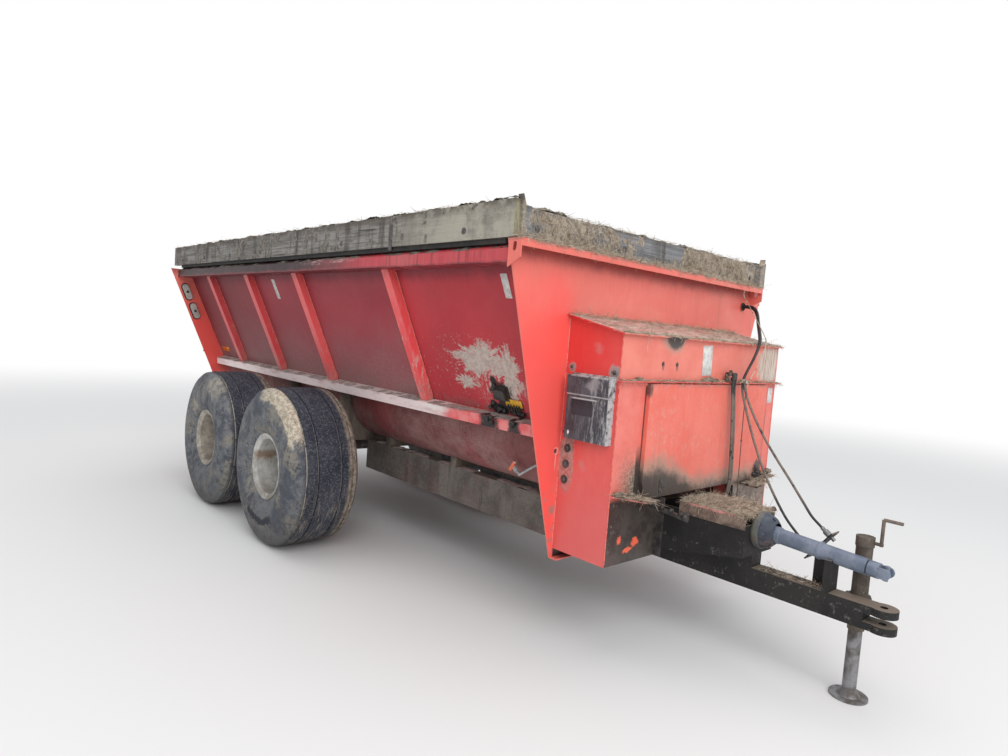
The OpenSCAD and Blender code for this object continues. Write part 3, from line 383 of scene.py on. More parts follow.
class Finish:
    """A node-based material. Its helpers add nodes; body is the colour that coats have built up so far."""

    def __init__(self, name, rough, metal=0.0):
        self.mat = bpy.data.materials.new(name)
        self.mat.use_nodes = True
        self.tree = self.mat.node_tree
        self.shader = self.tree.nodes["Principled BSDF"]
        self.shader.inputs["Roughness"].default_value = rough
        self.shader.inputs["Metallic"].default_value = metal
        self.body = None
        texture = self.add("ShaderNodeTexCoord")
        self.where = texture.outputs["Object"]
        self.axes, self.facing = (
            [Field(self, socket) for socket in self.add("ShaderNodeSeparateXYZ", way).outputs]
            for way in (self.where, texture.outputs["Normal"])
        )

    def add(self, kind, *inputs, **settings):
        """A new node, with its first inputs linked or set; None leaves one as it is."""
        node = self.tree.nodes.new(kind)
        for key, value in settings.items():
            setattr(node, key, value)
        for socket, value in zip(node.inputs, inputs):
            self.put(socket, value)
        return node

    def put(self, socket, value):
        if isinstance(value, Field):
            value = value.socket
        if isinstance(value, bpy.types.NodeSocket):
            self.tree.links.new(value, socket)
        elif value is not None:
            socket.default_value = value

    def calc(self, operation, a, b=None, clamp=False):
        return Field(self, self.add("ShaderNodeMath", a, b, operation=operation, use_clamp=clamp).outputs[0])

    def vector(self, operation, *inputs):
        return self.add("ShaderNodeVectorMath", *inputs, operation=operation).outputs

    def noise(self, scale, detail=5, rough=0.6, stretch=None, warp=0.0, where=None):
        """Noise over the part's own place or another one; stretch is its frequency along each axis."""
        where = where or self.where
        if stretch:
            where = self.add("ShaderNodeMapping", where, None, None, stretch).outputs[0]
        node = self.add("ShaderNodeTexNoise", where)
        for key, value in (("Scale", scale), ("Detail", detail), ("Roughness", rough), ("Distortion", warp)):
            node.inputs[key].default_value = value
        return Field(self, node.outputs["Fac"])

    def cells(self, scale):
        return Field(self, self.add("ShaderNodeTexVoronoi", self.where, None, scale).outputs["Distance"])

    def span(self, value, low, high, start=0.0, end=1.0):
        """value from low to high, eased, as start to end."""
        node = self.add("ShaderNodeMapRange", value, low, high, start, end, interpolation_type="SMOOTHSTEP")
        return Field(self, node.outputs["Result"])

    def patches(self, scale, detail, rough, low, high, start=0.0, end=1.0, **facts):
        """Noise from low to high, eased, as start to end."""
        return self.span(self.noise(scale, detail, rough, **facts), low, high, start, end)

    def x(self, low, high, *ends):
        """The place along X, from low to high as counted from the front wall's face."""
        return self.span(self.axes[X], WALL_X + low, WALL_X + high, *ends)

    def y(self, *ends):
        return self.span(self.axes[Y], *ends)

    def z(self, *ends):
        return self.span(self.axes[Z], *ends)

    def off_from(self, middle, reach):
        """The way from a place, counted in its reach along each axis."""
        off = self.vector("SUBTRACT", self.where, tuple(at(*middle)))[0]
        return self.vector("MULTIPLY", off, tuple(1.0 / r for r in reach))[0]

    def spot(self, middle, reach, ragged, scale, soft):
        """1 round a place, falling to 0 at about its reach along each axis, with a ragged edge."""
        far = Field(self, self.vector("LENGTH", self.off_from(middle, reach))["Value"])
        far = far + (self.noise(scale, 5, 0.65) - 0.5) * (ragged * 2)
        return self.span(far, 1.0 + soft, 1.0 - soft)

    def splat(self, middle, reach, spikes, holes):
        """A thrown splash round a place: fingers that reach out unevenly, with holes between them."""
        near = self.off_from(middle, reach)
        far = Field(self, self.vector("LENGTH", near)["Value"])
        fingers = self.noise(spikes, 6, 0.65, where=self.vector("NORMALIZE", near)[0])
        edge = fingers * 2.7 + -0.62
        grain = (self.noise(24, 8, 0.85) - 0.5) * 2.6
        solid = self.span(far + grain - edge, 0.1, -0.1)
        return solid * self.patches(19, 7, 0.8, 0.66, 0.58, 1.0 - holes, 1.0)

    def within(self, value, low, high, soft=0.004):
        """1 where a value is between low and high."""
        return self.span(value, low - soft, low + soft) * self.span(value, high + soft, high - soft)

    def between(self, axis, low, high, soft, ragged=0.0, scale=12.0):
        """1 where a coordinate is between low and high; along X both count from the front wall's face."""
        value = self.axes[axis]
        face = WALL_X if axis == X else 0.0
        if ragged:
            value = value + (self.noise(scale, 5, 0.65) - 0.5) * ragged
        return self.within(value, face + low, face + high, soft)

    def mix(self, factor, a, b):
        """Colour a with b over it; a colour is three numbers or a field."""
        node = self.add("ShaderNodeMix", data_type="RGBA")
        self.put(node.inputs[0], factor)
        for number, value in ((6, a), (7, b)):
            self.put(node.inputs[number], value + (1,) if isinstance(value, tuple) else value)
        return Field(self, node.outputs[2])

    def coat(self, mask, colour):
        """Lays a colour over the body where the mask is 1."""
        self.body = self.mix(mask, self.body, colour)

    def colour(self, value):
        self.put(self.shader.inputs["Base Color"], value)

    def rough(self, value):
        self.put(self.shader.inputs["Roughness"], value)

    def bump(self, height, strength, distance):
        node = self.add("ShaderNodeBump")
        for key, value in (("Height", height), ("Strength", strength), ("Distance", distance)):
            self.put(node.inputs[key], value)
        self.put(self.shader.inputs["Normal"], node.outputs[0])


def toned(colour, share, lift=0.0):
    """A colour made darker or paler."""
    return tuple(min(1, share * c + lift) for c in colour)


PALE_RED = (0.8, 0.19, 0.15)
DEEP_RED = (0.4, 0.028, 0.03)
SIDE_RED = (0.46, 0.046, 0.056)
SIDE_PALE = (0.5, 0.135, 0.145)
PRIMER = (0.36, 0.34, 0.34)
DUST = (0.36, 0.3, 0.25)
MUD = (0.15, 0.115, 0.085)
GREASE = (0.012, 0.011, 0.011)
RUST = (0.2, 0.075, 0.032)


def finish_rubber(name, muddy):
    """Hose rubber with dust, and with mud dried on it in a band of heights."""
    f = Finish(name, rough=0.62)
    patch = f.noise(16, 6, 0.7, warp=0.3)
    f.body = f.mix(f.span(patch, 0.42, 0.66), (0.017, 0.017, 0.018), (0.06, 0.055, 0.05))
    band = f.between(Z, muddy[0], muddy[1], 0.06, 0.1, 20) * f.patches(30, 6, 0.7, 0.34, 0.5)
    f.coat(band * 0.9, (0.2, 0.165, 0.135))
    f.colour(f.body)
    f.rough(f.span(patch, 0.4, 0.7, 0.5, 0.9))
    f.bump(f.noise(90, 4, 0.7) + band * 1.5, 0.35, 0.002)
    return f.mat


def finish_twine(name, base, pale):
    """Twisted fibres, frayed and stained."""
    f = Finish(name, rough=0.92)
    strand = f.noise(420, 4, 0.75)
    f.body = f.mix(f.span(strand, 0.35, 0.62), base, pale)
    f.coat(f.patches(24, 5, 0.7, 0.5, 0.62), (0.12, 0.095, 0.07))
    low = f.span(f.axes[Z] + f.noise(14, 5) * 0.1, 1.47, 1.4)
    f.coat(low * 0.85, (0.085, 0.064, 0.05))
    f.colour(f.body)
    f.bump(strand, 0.6, 0.0015)
    return f.mat


HOSE_RUBBER = finish_rubber("hose_rubber", (0.86, 1.4))
DROP_RUBBER = finish_rubber("drop_rubber", (0.7, 1.36))
TWINE = finish_twine("twine_fibre", (0.36, 0.3, 0.215), (0.58, 0.52, 0.41))

# Cords: the same routes as their solids follow, in metres

OVER_HOUSING = [
    (0.045, 0.95, 1.891), (0.095, 0.934, 1.877), (0.145, 0.884, 1.838), (0.21, 0.782, 1.778),
    (0.28, 0.668, 1.727), (0.335, 0.576, 1.69), (0.372, 0.51, 1.66), (0.394, 0.455, 1.612),
    (0.399, 0.395, 1.538), (0.398, 0.345, 1.477), (0.405, 0.3, 1.423),
]
SUPPLY_ROUTE = [(0.008, 0.95, 1.891)] + OVER_HOUSING + [
    (0.43, 0.268, 1.355), (0.475, 0.245, 1.26), (0.54, 0.218, 1.13), (0.615, 0.19, 1.0),
    (0.705, 0.158, 0.875), (0.8, 0.125, 0.768), (0.868, 0.108, 0.71), (0.902, 0.105, 0.684),
    (0.926, 0.105, 0.666),
]
BESIDE = (0.012, -0.009, 0.01)
RETURN_ROUTE = [(0.008, 0.941, 1.901)] + [
    tuple(a + b for a, b in zip(point, BESIDE)) for point in OVER_HOUSING
] + [
    (0.45, 0.265, 1.362), (0.51, 0.245, 1.262), (0.595, 0.221, 1.15), (0.69, 0.193, 1.048),
    (0.79, 0.162, 0.952), (0.88, 0.129, 0.865), (0.938, 0.109, 0.808), (0.974, 0.105, 0.78),
    (0.998, 0.105, 0.762),
]
DROP_ROUTE = [
    (0.395, 0.212, 1.43), (0.395, 0.212, 1.39), (0.397, 0.216, 1.33), (0.4, 0.224, 1.25),
    (0.402, 0.235, 1.15), (0.402, 0.246, 1.05), (0.401, 0.257, 0.95), (0.398, 0.266, 0.87),
    (0.389, 0.273, 0.805), (0.37, 0.278, 0.752), (0.335, 0.282, 0.708), (0.285, 0.284, 0.678),
    (0.22, 0.286, 0.661), (0.13, 0.286, 0.655), (0.03, 0.286, 0.655),
]
DROP_GAP = 0.02
TWINE_ROUTE = [
    (0.082, 0.813, 1.994), (0.082, 0.813, 1.955), (0.15, 0.768, 1.888), (0.26, 0.69, 1.78),
    (0.35, 0.61, 1.7), (0.4, 0.54, 1.655), (0.428, 0.455, 1.57), (0.433, 0.37, 1.485),
    (0.436, 0.31, 1.425), (0.434, 0.3, 1.385), (0.428, 0.304, 1.31), (0.424, 0.312, 1.19),
    (0.422, 0.32, 1.05), (0.421, 0.328, 0.91), (0.42, 0.334, 0.77),
]
HOSE_R = 0.0065
DROP_R = 0.0075
TWINE_R = 0.0025


def route_line(route, shift=0.0):
    return spline([at(x, y + shift, z) for x, y, z in route])


def make_hose(name, node, line, r, material, **facts):
    shape = Shape()
    shape.tube(line, r, 14)
    hose = shape.made(name, [material], slot=facts.pop("slot", "black_rubber"))
    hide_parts(node)
    round(line_length(line), 3)


def make_cords():
    supply, back = route_line(SUPPLY_ROUTE), route_line(RETURN_ROUTE)
    make_hose("supply_hose_tube", "supply_hose", supply, HOSE_R, HOSE_RUBBER,
              far_end="connector", stiffness="medium", lay="loose", with_pieces=["supply_coupler"])
    make_hose("return_hose_tube", "return_hose", back, HOSE_R, HOSE_RUBBER,
              far_end="connector", stiffness="medium", lay="loose", with_pieces=["return_coupler"])
    for label, shift in (("inner", 0.0), ("outer", DROP_GAP)):
        make_hose(f"{label}_drop_hose_tube", f"{label}_drop_hose", route_line(DROP_ROUTE, shift), DROP_R,
                  DROP_RUBBER, far_end="object", stiffness="medium", lay="hanging")
    # The knot is a lump at the twine's end, and two turns tie the hoses together
    line = route_line(TWINE_ROUTE)
    knot = Shape()
    knot.clod(line[-1], (0.006, 0.006, 0.009), 3, rough=0.3)
    knot.clod(line[-1] - vec(0, 0, 0.01), (0.003, 0.003, 0.008), 4, rough=0.5)
    knot.clod(line[-10], (0.006, 0.006, 0.008), 5, rough=0.3)
    tail = knot.made("twine_knot", [TWINE], slot="twine_fibre")
    loops = Shape()
    for turn in range(4):
        ring = []
        for k in range(17):
            angle = 2 * math.pi * k / 16
            ring.append(at(0.412 + 0.02 * math.cos(angle), 0.296 + 0.02 * math.sin(angle),
                           1.4215 + 0.004 * turn + 0.003 * math.sin(angle + turn)))
        loops.tube(ring, 0.0021, 6)
    loops.clod(at(0.434, 0.288, 1.424), (0.008, 0.01, 0.012), 8, rough=0.4)
    wrap = loops.made("hose_tie", [TWINE], slot="twine_fibre")
    make_hose("tie_twine_strand", "tie_twine", line, TWINE_R, TWINE, slot="twine_fibre",
              far_end="knot", stiffness="limp", lay="hanging", with_pieces=[tail, wrap])


make_cords()


def paint(name, base, faded, dirt, dirt_amount, streaks, extra=None, gloss=0.42, chips=0.5, hairs=0.3):
    """Old paint: faded in streaks, chipped to primer and rust, with dirt in patches, drips and specks.

    extra(f) adds the marks of one place."""
    f = Finish(name, rough=gloss)
    streak = f.noise(1.0, 6, 0.65, stretch=(9, 9, 0.9))
    patch = f.noise(2.2, 6, 0.6, warp=0.4)
    f.body = f.mix(f.span(streak, 0.36, 0.66) * streaks | f.span(patch, 0.36, 0.7), base, faded)
    hair = f.noise(1.0, 5, 0.7, stretch=(75, 75, 5))
    f.coat(f.span(hair, 0.48, 0.66) * hairs, toned(faded, 1.1, 0.06))
    broad = f.noise(0.9, 4, 0.55)
    f.coat(f.span(broad, 0.45, 0.7) * 0.3, toned(base, 0.8))
    fine = f.noise(75, 4, 0.75)
    f.coat(f.span(fine, 0.54, 0.7) * 0.35, tuple((0.5 * (a + b) for a, b in zip(faded, dirt))))
    scratch = f.noise(1.0, 5, 0.8, stretch=(4, 4, 60))
    f.coat(f.span(scratch, 0.66, 0.7) * (0.5 * chips), faded)
    cover = f.span(patch, 0.68 - 0.28 * dirt_amount, 0.82) * dirt_amount
    run = f.noise(1.0, 8, 0.72, stretch=(26, 26, 1.5))
    cover = cover | f.span(run, 0.55, 0.72) * (dirt_amount * 0.9)
    f.coat(cover, dirt)
    chip = f.patches(19, 7, 0.78, 0.665, 0.685) * f.patches(3.1, 3, 0.6, 0.62 - 0.2 * chips, 0.66)
    f.coat(chip, f.mix(f.patches(40, 3, 0.6, 0.42, 0.55), RUST, PRIMER))
    speck = f.patches(52, 4, 0.8, 0.68, 0.71)
    f.coat(speck, MUD)
    if extra:
        extra(f)
    f.colour(f.body)
    f.rough(f.span(cover, 0.0, 1.0, gloss, 0.88) + (fine - 0.5) * 0.35)
    height = f.noise(4.2, 5, 0.55) + fine * 0.1
    height = height + (speck | chip) * 0.12
    f.bump(height, 0.22, 0.006)
    return f.mat


def drips(f, low, high, wide, long):
    return f.patches(1.0, 7, 0.7, low, high, stretch=(wide, wide, long))


def side_marks(f):
    """The side sheets: deep red ahead, purple and dusty behind, painted shadow under the top rail, painted
    shadow and dust behind each rib, a pale splash, grease, manure inside.
    """
    ahead = f.x(-1.3, -1.16)
    broad = f.patches(1.3, 4, 0.5, 0.35, 0.65)
    f.coat(ahead * 0.85, f.mix(broad, (0.44, 0.022, 0.034), (0.56, 0.036, 0.05)))
    behind = ~ahead
    f.coat(behind * 0.85, f.mix(broad, (0.3, 0.018, 0.034), (0.38, 0.034, 0.052)))
    rear = f.x(-2.6, -4.4)
    f.coat(rear * 0.6, (0.125, 0.022, 0.024))
    # Painted shadow: a dark band on the sheets just under the top rail
    rail_shadow = f.span(f.axes[Z] + f.noise(1.0, 5, 0.6, stretch=(8, 8, 0.5)) * 0.08, 1.875, 1.97)
    f.coat(rail_shadow * 0.8, (0.13, 0.01, 0.02))
    dust = f.span(f.axes[Z] + f.noise(2.2, 5, 0.6) * 0.5, 1.95, 1.38) * behind
    film = f.patches(60, 6, 0.8, 0.38, 0.6, 0.55, 1.0)
    amount = f.x(-4.6, -2.6, 0.3, 0.72)
    f.coat(dust * film * amount, (0.36, 0.215, 0.215))
    low = f.z(1.3, 1.15) * f.patches(5, 6, 0.65, 0.35, 0.6)
    f.coat(low * behind * 0.55, (0.27, 0.165, 0.15))
    foot = f.z(1.21, 1.16) * (f.patches(12, 6, 0.7, 0.42, 0.6) * ahead)
    f.coat(foot * 0.6, (0.3, 0.12, 0.11))
    for back in RIB_BACKS:
        # Painted shadow mixed with grey-brown dust, in a band behind each rib
        dust_and_shadow = f.between(X, -back - 0.165, -back - 0.072, 0.028, 0.05, 7)
        f.coat(dust_and_shadow * f.z(1.86, 1.5, 0.3, 0.8) * 0.85, (0.15, 0.112, 0.092))
        seam = f.between(X, -back - 0.004, -back + 0.014, 0.008, 0.012, 9)
        f.coat(seam * 0.6, (0.095, 0.035, 0.036))
    right = f.y(-0.3, -0.5)
    flecks = f.spot((-0.72, -0.8, 1.35), (0.42, 0.3, 0.24), 0.6, 5, 0.5) * f.patches(34, 6, 0.85, 0.605, 0.63)
    splash = (f.splat((-0.55, -0.85, 1.44), (0.285, 0.4, 0.115), 2.6, 0.6)
              | f.splat((-0.345, -0.82, 1.375), (0.11, 0.3, 0.17), 2.4, 0.7))
    splash = splash | f.splat((-0.745, -0.79, 1.3), (0.115, 0.3, 0.045), 4.0, 0.6)
    fall = (f.spot((-0.46, -0.79, 1.335), (0.2, 0.3, 0.13), 0.5, 8, 0.4)
            * (drips(f, 0.515, 0.545, 44, 4.0) * f.patches(9, 5, 0.6, 0.36, 0.5)))
    splash = splash | fall
    pale = f.mix(f.patches(34, 7, 0.8, 0.36, 0.62), (0.4, 0.335, 0.29), (0.6, 0.535, 0.47))
    f.coat((splash | flecks * 0.8) * right * 0.93, pale)
    for place, reach in (
        ((-0.455, -0.76, 1.262), (0.078, 0.3, 0.058)), ((-0.5, -0.72, 1.172), (0.085, 0.3, 0.034)),
        ((-0.36, -0.72, 1.16), (0.075, 0.3, 0.022)), ((-0.5, -0.78, 1.32), (0.022, 0.3, 0.036)),
    ):
        f.coat(f.spot(place, reach, 0.9, 20, 0.25) * right, GREASE)
    fall = f.spot((-0.37, -0.72, 1.175), (0.08, 0.3, 0.03), 0.2, 20, 0.2) * drips(f, 0.5, 0.53, 60, 2)
    f.coat(fall * right, GREASE)
    inside = f.span(f.facing[Y] * f.axes[Y], 0.0, -0.02)
    residue = f.mix(f.patches(4.5, 7, 0.7, 0.4, 0.62, warp=0.5), (0.07, 0.055, 0.042), (0.19, 0.135, 0.095))
    f.coat(inside * f.z(1.95, 1.55, 0.72, 1.0), residue)


def rib_marks(f):
    """The ribs: bright flanges, darker to the rear, scuffed pale and dusty at the foot."""
    rear = f.x(-2.0, -4.3)
    f.coat(rear * 0.4, (0.42, 0.06, 0.066))
    top = f.z(1.84, 1.93) * drips(f, 0.38, 0.6, 30, 1.0)
    f.coat(top * 0.55, (0.2, 0.05, 0.05))
    scuff = f.patches(1.0, 8, 0.8, 0.53, 0.59, stretch=(34, 34, 8)) * f.z(1.72, 1.3, 0.1, 0.9)
    f.coat(scuff * f.x(-2.2, -1.3, 0.2, 0.9), (0.72, 0.52, 0.47))
    foot = f.z(1.3, 1.16) * f.patches(14, 6, 0.7, 0.38, 0.58)
    f.coat(foot * 0.6, (0.42, 0.25, 0.22))


def rail_marks(f):
    """The top rails: nearly black with pale smears over the rear half, with dark runs over the front half."""
    rear = f.span(f.axes[X] + f.noise(3, 6, 0.7) * 0.8, WALL_X - 0.75, WALL_X - 1.75)
    ragged = f.axes[Z] + (f.noise(1.0, 7, 0.75, stretch=(16, 16, 4)) - 0.5) * 0.06
    stain = rear * f.span(ragged, 1.922, 1.942, 0.62, 1.0)
    f.coat(stain * 0.96, f.mix(f.patches(9, 6, 0.7, 0.4, 0.62), (0.006, 0.004, 0.004), (0.03, 0.016, 0.017)))
    smear = f.span(ragged, 1.955, 1.968) * rear * f.patches(1.0, 8, 0.78, 0.5, 0.55, stretch=(6, 5, 42))
    f.coat(smear * f.x(-2.3, -1.7, 0.0, 0.95), (0.64, 0.44, 0.44))
    run = ~rear * (drips(f, 0.5, 0.6, 30, 1.0) * f.patches(2.2, 4, 0.6, 0.36, 0.6))
    f.coat(run * 0.75, (0.13, 0.03, 0.036))
    lower = f.z(1.935, 1.922)
    f.coat(lower * f.patches(9, 6, 0.7, 0.4, 0.55, 0.3, 0.8), (0.11, 0.022, 0.028))


def dusty_rail_marks(f):
    """The lower rails: pale pink-grey with dust behind, bright red in front, painted shade on their
    undersides, grease by the filler points.
    """
    front = f.span(f.axes[X] + f.noise(4, 5, 0.6) * 0.3, WALL_X - 0.95, WALL_X - 0.7)
    f.coat(front * 0.85, f.mix(f.patches(9, 6, 0.7, 0.38, 0.6), (0.86, 0.085, 0.095), (0.9, 0.26, 0.25)))
    rear = ~front
    face = f.patches(1.0, 7, 0.75, 0.3, 0.54, 0.35, 0.95, stretch=(3, 3, 16))
    f.coat(rear * face, (0.9, 0.76, 0.74))
    up = f.span(f.facing[Z], 0.05, 0.5)
    f.coat(up * f.patches(6, 7, 0.7, 0.3, 0.55, 0.6, 0.95) * rear, (0.68, 0.6, 0.57))
    f.coat(up * f.patches(11, 7, 0.7, 0.44, 0.56) * front, (0.52, 0.34, 0.32))
    lump = f.spot((-1.03, -0.79, 1.13), (0.13, 0.2, 0.05), 0.7, 12, 0.4)
    f.coat(lump * 0.85, (0.86, 0.78, 0.74))
    dark = f.between(X, -0.6, -0.44, 0.02, 0.07, 22) | f.between(X, -0.355, -0.262, 0.016, 0.06, 22)
    dark = dark * f.y(-0.5, -0.7)
    # Painted shade: faces that look down are darkened
    under = f.span(f.facing[Z], -0.05, -0.5)
    f.coat(under * 0.85, (0.085, 0.055, 0.048))
    f.coat(dark * f.patches(26, 6, 0.8, 0.3, 0.5, 0.5, 1.0), (0.018, 0.015, 0.015))


def wall_marks(f):
    """The end walls: salmon above, bright red low on the right, shade under the flange, mud behind."""
    front = f.span(f.facing[X], 0.2, 0.6)
    rough_z = f.axes[Z] + (f.noise(1.4, 5) - 0.5) * 0.9
    bright = f.y(-0.66, -0.8) * f.span(rough_z, 1.98, 1.5) * front
    f.coat(bright * 0.9, (0.9, 0.1, 0.085))
    plain = front * f.x(0.06, 0.03)
    shade = f.span(f.axes[Z] + f.noise(9, 6, 0.7) * 0.07, 1.955, 2.035)
    f.coat(shade * plain * 0.75, (0.27, 0.05, 0.045))
    line = f.between(Z, 1.72, 1.97, 0.06) * f.patches(1.0, 5, 0.6, 0.6, 0.68, stretch=(16, 16, 0.35))
    f.coat(line * plain * 0.3, (0.46, 0.165, 0.125))
    lip = f.z(2.012, 2.027) * f.patches(1.0, 7, 0.75, 0.4, 0.52, stretch=(10, 14, 40))
    f.coat(lip * 0.8, (0.24, 0.165, 0.12))
    ring = f.spot((0, -0.772, 1.015), (0.1, 0.017, 0.02), 0.15, 60, 0.1) * front
    fall = f.spot((0, -0.773, 0.965), (0.1, 0.004, 0.045), 0.3, 60, 0.3) * front
    f.coat(ring * 0.55 | fall * 0.4, (0.84, 0.58, 0.52))
    edge = f.span(abs(f.axes[Y]), 0.72, 0.77) * f.between(Z, 0.45, 0.8, 0.1)
    f.coat(edge * f.patches(12, 6, 0.75, 0.5, 0.58), (0.4, 0.2, 0.17))
    behind = f.span(f.facing[X], -0.2, -0.6)
    residue = f.mix(f.patches(4, 7, 0.7, 0.4, 0.62, warp=0.5), (0.08, 0.055, 0.042), (0.22, 0.14, 0.105))
    hopper = f.between(X, -4.98, -4.95, 0.01) * front
    hopper = hopper | behind * f.between(X, -0.3, 0.01, 0.01) * f.patches(3, 6, 0.6, 0.25, 0.45)
    # The sheets' slope bounds the tank's inside on both walls
    reach = abs(f.axes[Y]) - f.axes[Z] * SHEET_SLOPE
    tank = f.span(reach, 0.1988, 0.1888)
    f.coat(hopper * tank * 0.9, residue)
    shut = f.between(Y, -0.738, 0.808, 0.003) * f.z(1.66, 1.64) * f.between(X, -0.02, 0.02, 0.005)
    f.coat(shut * front * 0.97,
           f.mix(f.patches(9, 6, 0.7, 0.4, 0.6), (0.02, 0.016, 0.015), (0.06, 0.045, 0.038)))
    rear = f.between(X, -5.3, -4.9, 0.05) * behind
    f.coat(rear * f.patches(2.2, 7, 0.7, 0.42, 0.62, 0.15, 0.85), (0.21, 0.1, 0.085))


def housing_marks(f):
    """The housing: a salmon front, a grease half-moon, grey weathering, painted shade in the gap beside the
    cover, a dark foot, a brighter side.
    """
    front = f.span(f.facing[X], 0.3, 0.7)
    side = f.span(f.facing[Y], -0.3, -0.7)
    mottle = f.patches(5, 7, 0.7, 0.32, 0.68)
    f.coat(front * f.between(Z, 1.42, 1.7, 0.01) * 0.85,
           f.mix(mottle, (0.74, 0.19, 0.14), (0.82, 0.265, 0.2)))
    f.coat(front * f.z(1.41, 1.4) * 0.8, f.mix(mottle, (0.74, 0.16, 0.122), (0.82, 0.255, 0.205)))
    up = f.span(f.facing[Z], 0.3, 0.6)
    dusty = f.mix(f.patches(1.0, 7, 0.75, 0.44, 0.56, stretch=(12, 4, 12)),
                  (0.72, 0.36, 0.34), (0.7, 0.6, 0.55))
    strand = f.patches(1.0, 8, 0.8, 0.485, 0.53, stretch=(58, 7, 30))
    clump = f.span(f.noise(7, 7, 0.75) + f.y(0.15, 0.75) * 0.12, 0.5, 0.58)
    dusty = f.mix((strand | clump) * 0.88, dusty,
                  f.mix(f.patches(44, 5, 0.8, 0.42, 0.58), (0.11, 0.085, 0.062), (0.36, 0.285, 0.215)))
    f.coat(up * 0.95, dusty)
    halo = front * f.spot((HOUSING_FRONT, -0.315, 1.668), (0.2, 0.112, 0.112), 0.3, 12, 0.22)
    f.coat(halo * 0.75, (0.42, 0.29, 0.23))
    moon = front * f.spot((HOUSING_FRONT, -0.315, 1.668), (0.2, 0.088, 0.09), 0.22, 14, 0.16)
    f.coat(moon * 0.96, (0.052, 0.05, 0.047))
    for y in (-0.407, -0.283):
        tear = front * f.spot((HOUSING_FRONT, y + 0.003, 1.492), (0.2, 0.01, 0.024), 0.5, 60, 0.3)
        f.coat(tear * 0.8, (0.24, 0.1, 0.08))
    bare = (f.span(f.axes[Y] + (f.noise(9, 6, 0.7) - 0.5) * 0.3, 0.56, 0.62)
            * f.between(Z, 1.425, 1.625, 0.012, 0.05, 14))
    wood = f.mix(f.patches(1.0, 6, 0.7, 0.46, 0.58, stretch=(60, 60, 5)),
                 (0.6, 0.54, 0.47), (0.4, 0.31, 0.24))
    f.coat(front * bare * 0.92, wood)
    weather = f.y(-0.755, -0.56) * f.span(f.axes[Z] + (f.noise(14, 7, 0.8) - 0.5) * 0.3, 1.12, 0.9)
    weather = front * weather * f.y(0.0, -0.1)
    grit = f.mix(f.patches(60, 5, 0.8, 0.42, 0.58), (0.1, 0.08, 0.06), (0.36, 0.29, 0.22))
    f.coat(weather, grit)
    # Painted shade: near-black strips in the gap and step beside the cover's edge
    gap_shade = f.between(Y, -0.566, -0.5, 0.006, 0.012, 8) * f.z(1.12, 0.98)
    gap_shade = gap_shade | f.between(Y, -0.534, -0.5, 0.003) * f.z(1.395, 1.38)
    f.coat(front * gap_shade * 0.93, (0.035, 0.028, 0.025))
    foot = front * f.z(0.85, 0.815)
    dark = f.mix(f.patches(9, 6, 0.7, 0.4, 0.6), (0.028, 0.021, 0.019), (0.062, 0.05, 0.044))
    pale = f.patches(28, 7, 0.85, 0.585, 0.62) * f.y(-0.6, -0.74)
    dark = f.mix(pale * 0.8, dark, (0.34, 0.29, 0.24))
    brown = f.mix(f.patches(26, 6, 0.75, 0.4, 0.6), (0.1, 0.078, 0.06), (0.24, 0.19, 0.145))
    dark = f.mix(f.y(0.28, 0.36), dark, brown)
    spots = f.spot((HOUSING_FRONT, -0.645, 0.624), (0.2, 0.016, 0.02), 1.3, 46, 0.2)
    spots = spots | f.spot((HOUSING_FRONT, -0.515, 0.602), (0.2, 0.027, 0.021), 1.3, 46, 0.2)
    spots = spots | f.spot((HOUSING_FRONT, -0.572, 0.566), (0.2, 0.03, 0.014), 1.3, 46, 0.2)
    f.coat(foot * 0.97, f.mix(spots, dark, (0.8, 0.12, 0.055)))
    f.coat(side * f.z(1.36, 1.46) * 0.6, (0.68, 0.04, 0.038))
    scuff = (side * (f.spot((0.202, HOUSING_RIGHT, 1.557), (0.02, 0.2, 0.02), 2.4, 30, 0.9)
                     | f.spot((0.157, HOUSING_RIGHT, 0.972), (0.016, 0.2, 0.022), 2.4, 30, 0.9)))
    f.coat(scuff * 0.45, (0.52, 0.26, 0.24))
    halos = (f.spot((0.04, HOUSING_RIGHT, 1.45), (0.023, 0.2, 0.027), 0.6, 34, 0.2)
             | f.spot((0.312, HOUSING_RIGHT, 1.447), (0.034, 0.2, 0.04), 0.6, 34, 0.2))
    f.coat(side * halos * 0.85, (0.34, 0.29, 0.27))
    patch = side * f.spot((0.05, HOUSING_RIGHT, 0.965), (0.05, 0.2, 0.15), 0.55, 13, 0.15)
    f.coat(patch * 0.9, f.mix(f.patches(45, 6, 0.8, 0.42, 0.58), (0.4, 0.345, 0.3), (0.21, 0.175, 0.15)))
    slab = side * f.span(f.axes[Z] + f.noise(3, 6) * 0.3, 1.28, 0.85)
    f.coat(slab * 0.6, (0.66, 0.13, 0.122))
    lip = side * (f.z(1.61, 1.7) * drips(f, 0.52, 0.62, 46, 3.5))
    f.coat(lip * 0.6, (0.34, 0.1, 0.09))
    # The edges round the mouth, the elbows and the peg are black with grease
    proud = f.x(0.3475, 0.3495)
    mouth = (f.span(abs(f.axes[Y]), 0.372, 0.36) | proud * 0.94) * f.z(0.822, 0.814)
    hollow = f.span(f.facing[X], -0.3, -0.7) * f.between(X, 0.2, 0.36, 0.01)
    mouth = mouth | hollow
    elbow = proud * f.between(Y, 0.15, 0.36, 0.01) * f.between(Z, 1.426, 1.5, 0.002)
    peg = proud * f.between(Y, -0.5, -0.4, 0.01) * f.z(0.95, 0.9)
    fixing = mouth | elbow | peg
    f.coat(fixing, f.mix(f.patches(30, 6, 0.7, 0.4, 0.6), (0.022, 0.02, 0.02), (0.06, 0.052, 0.047)))


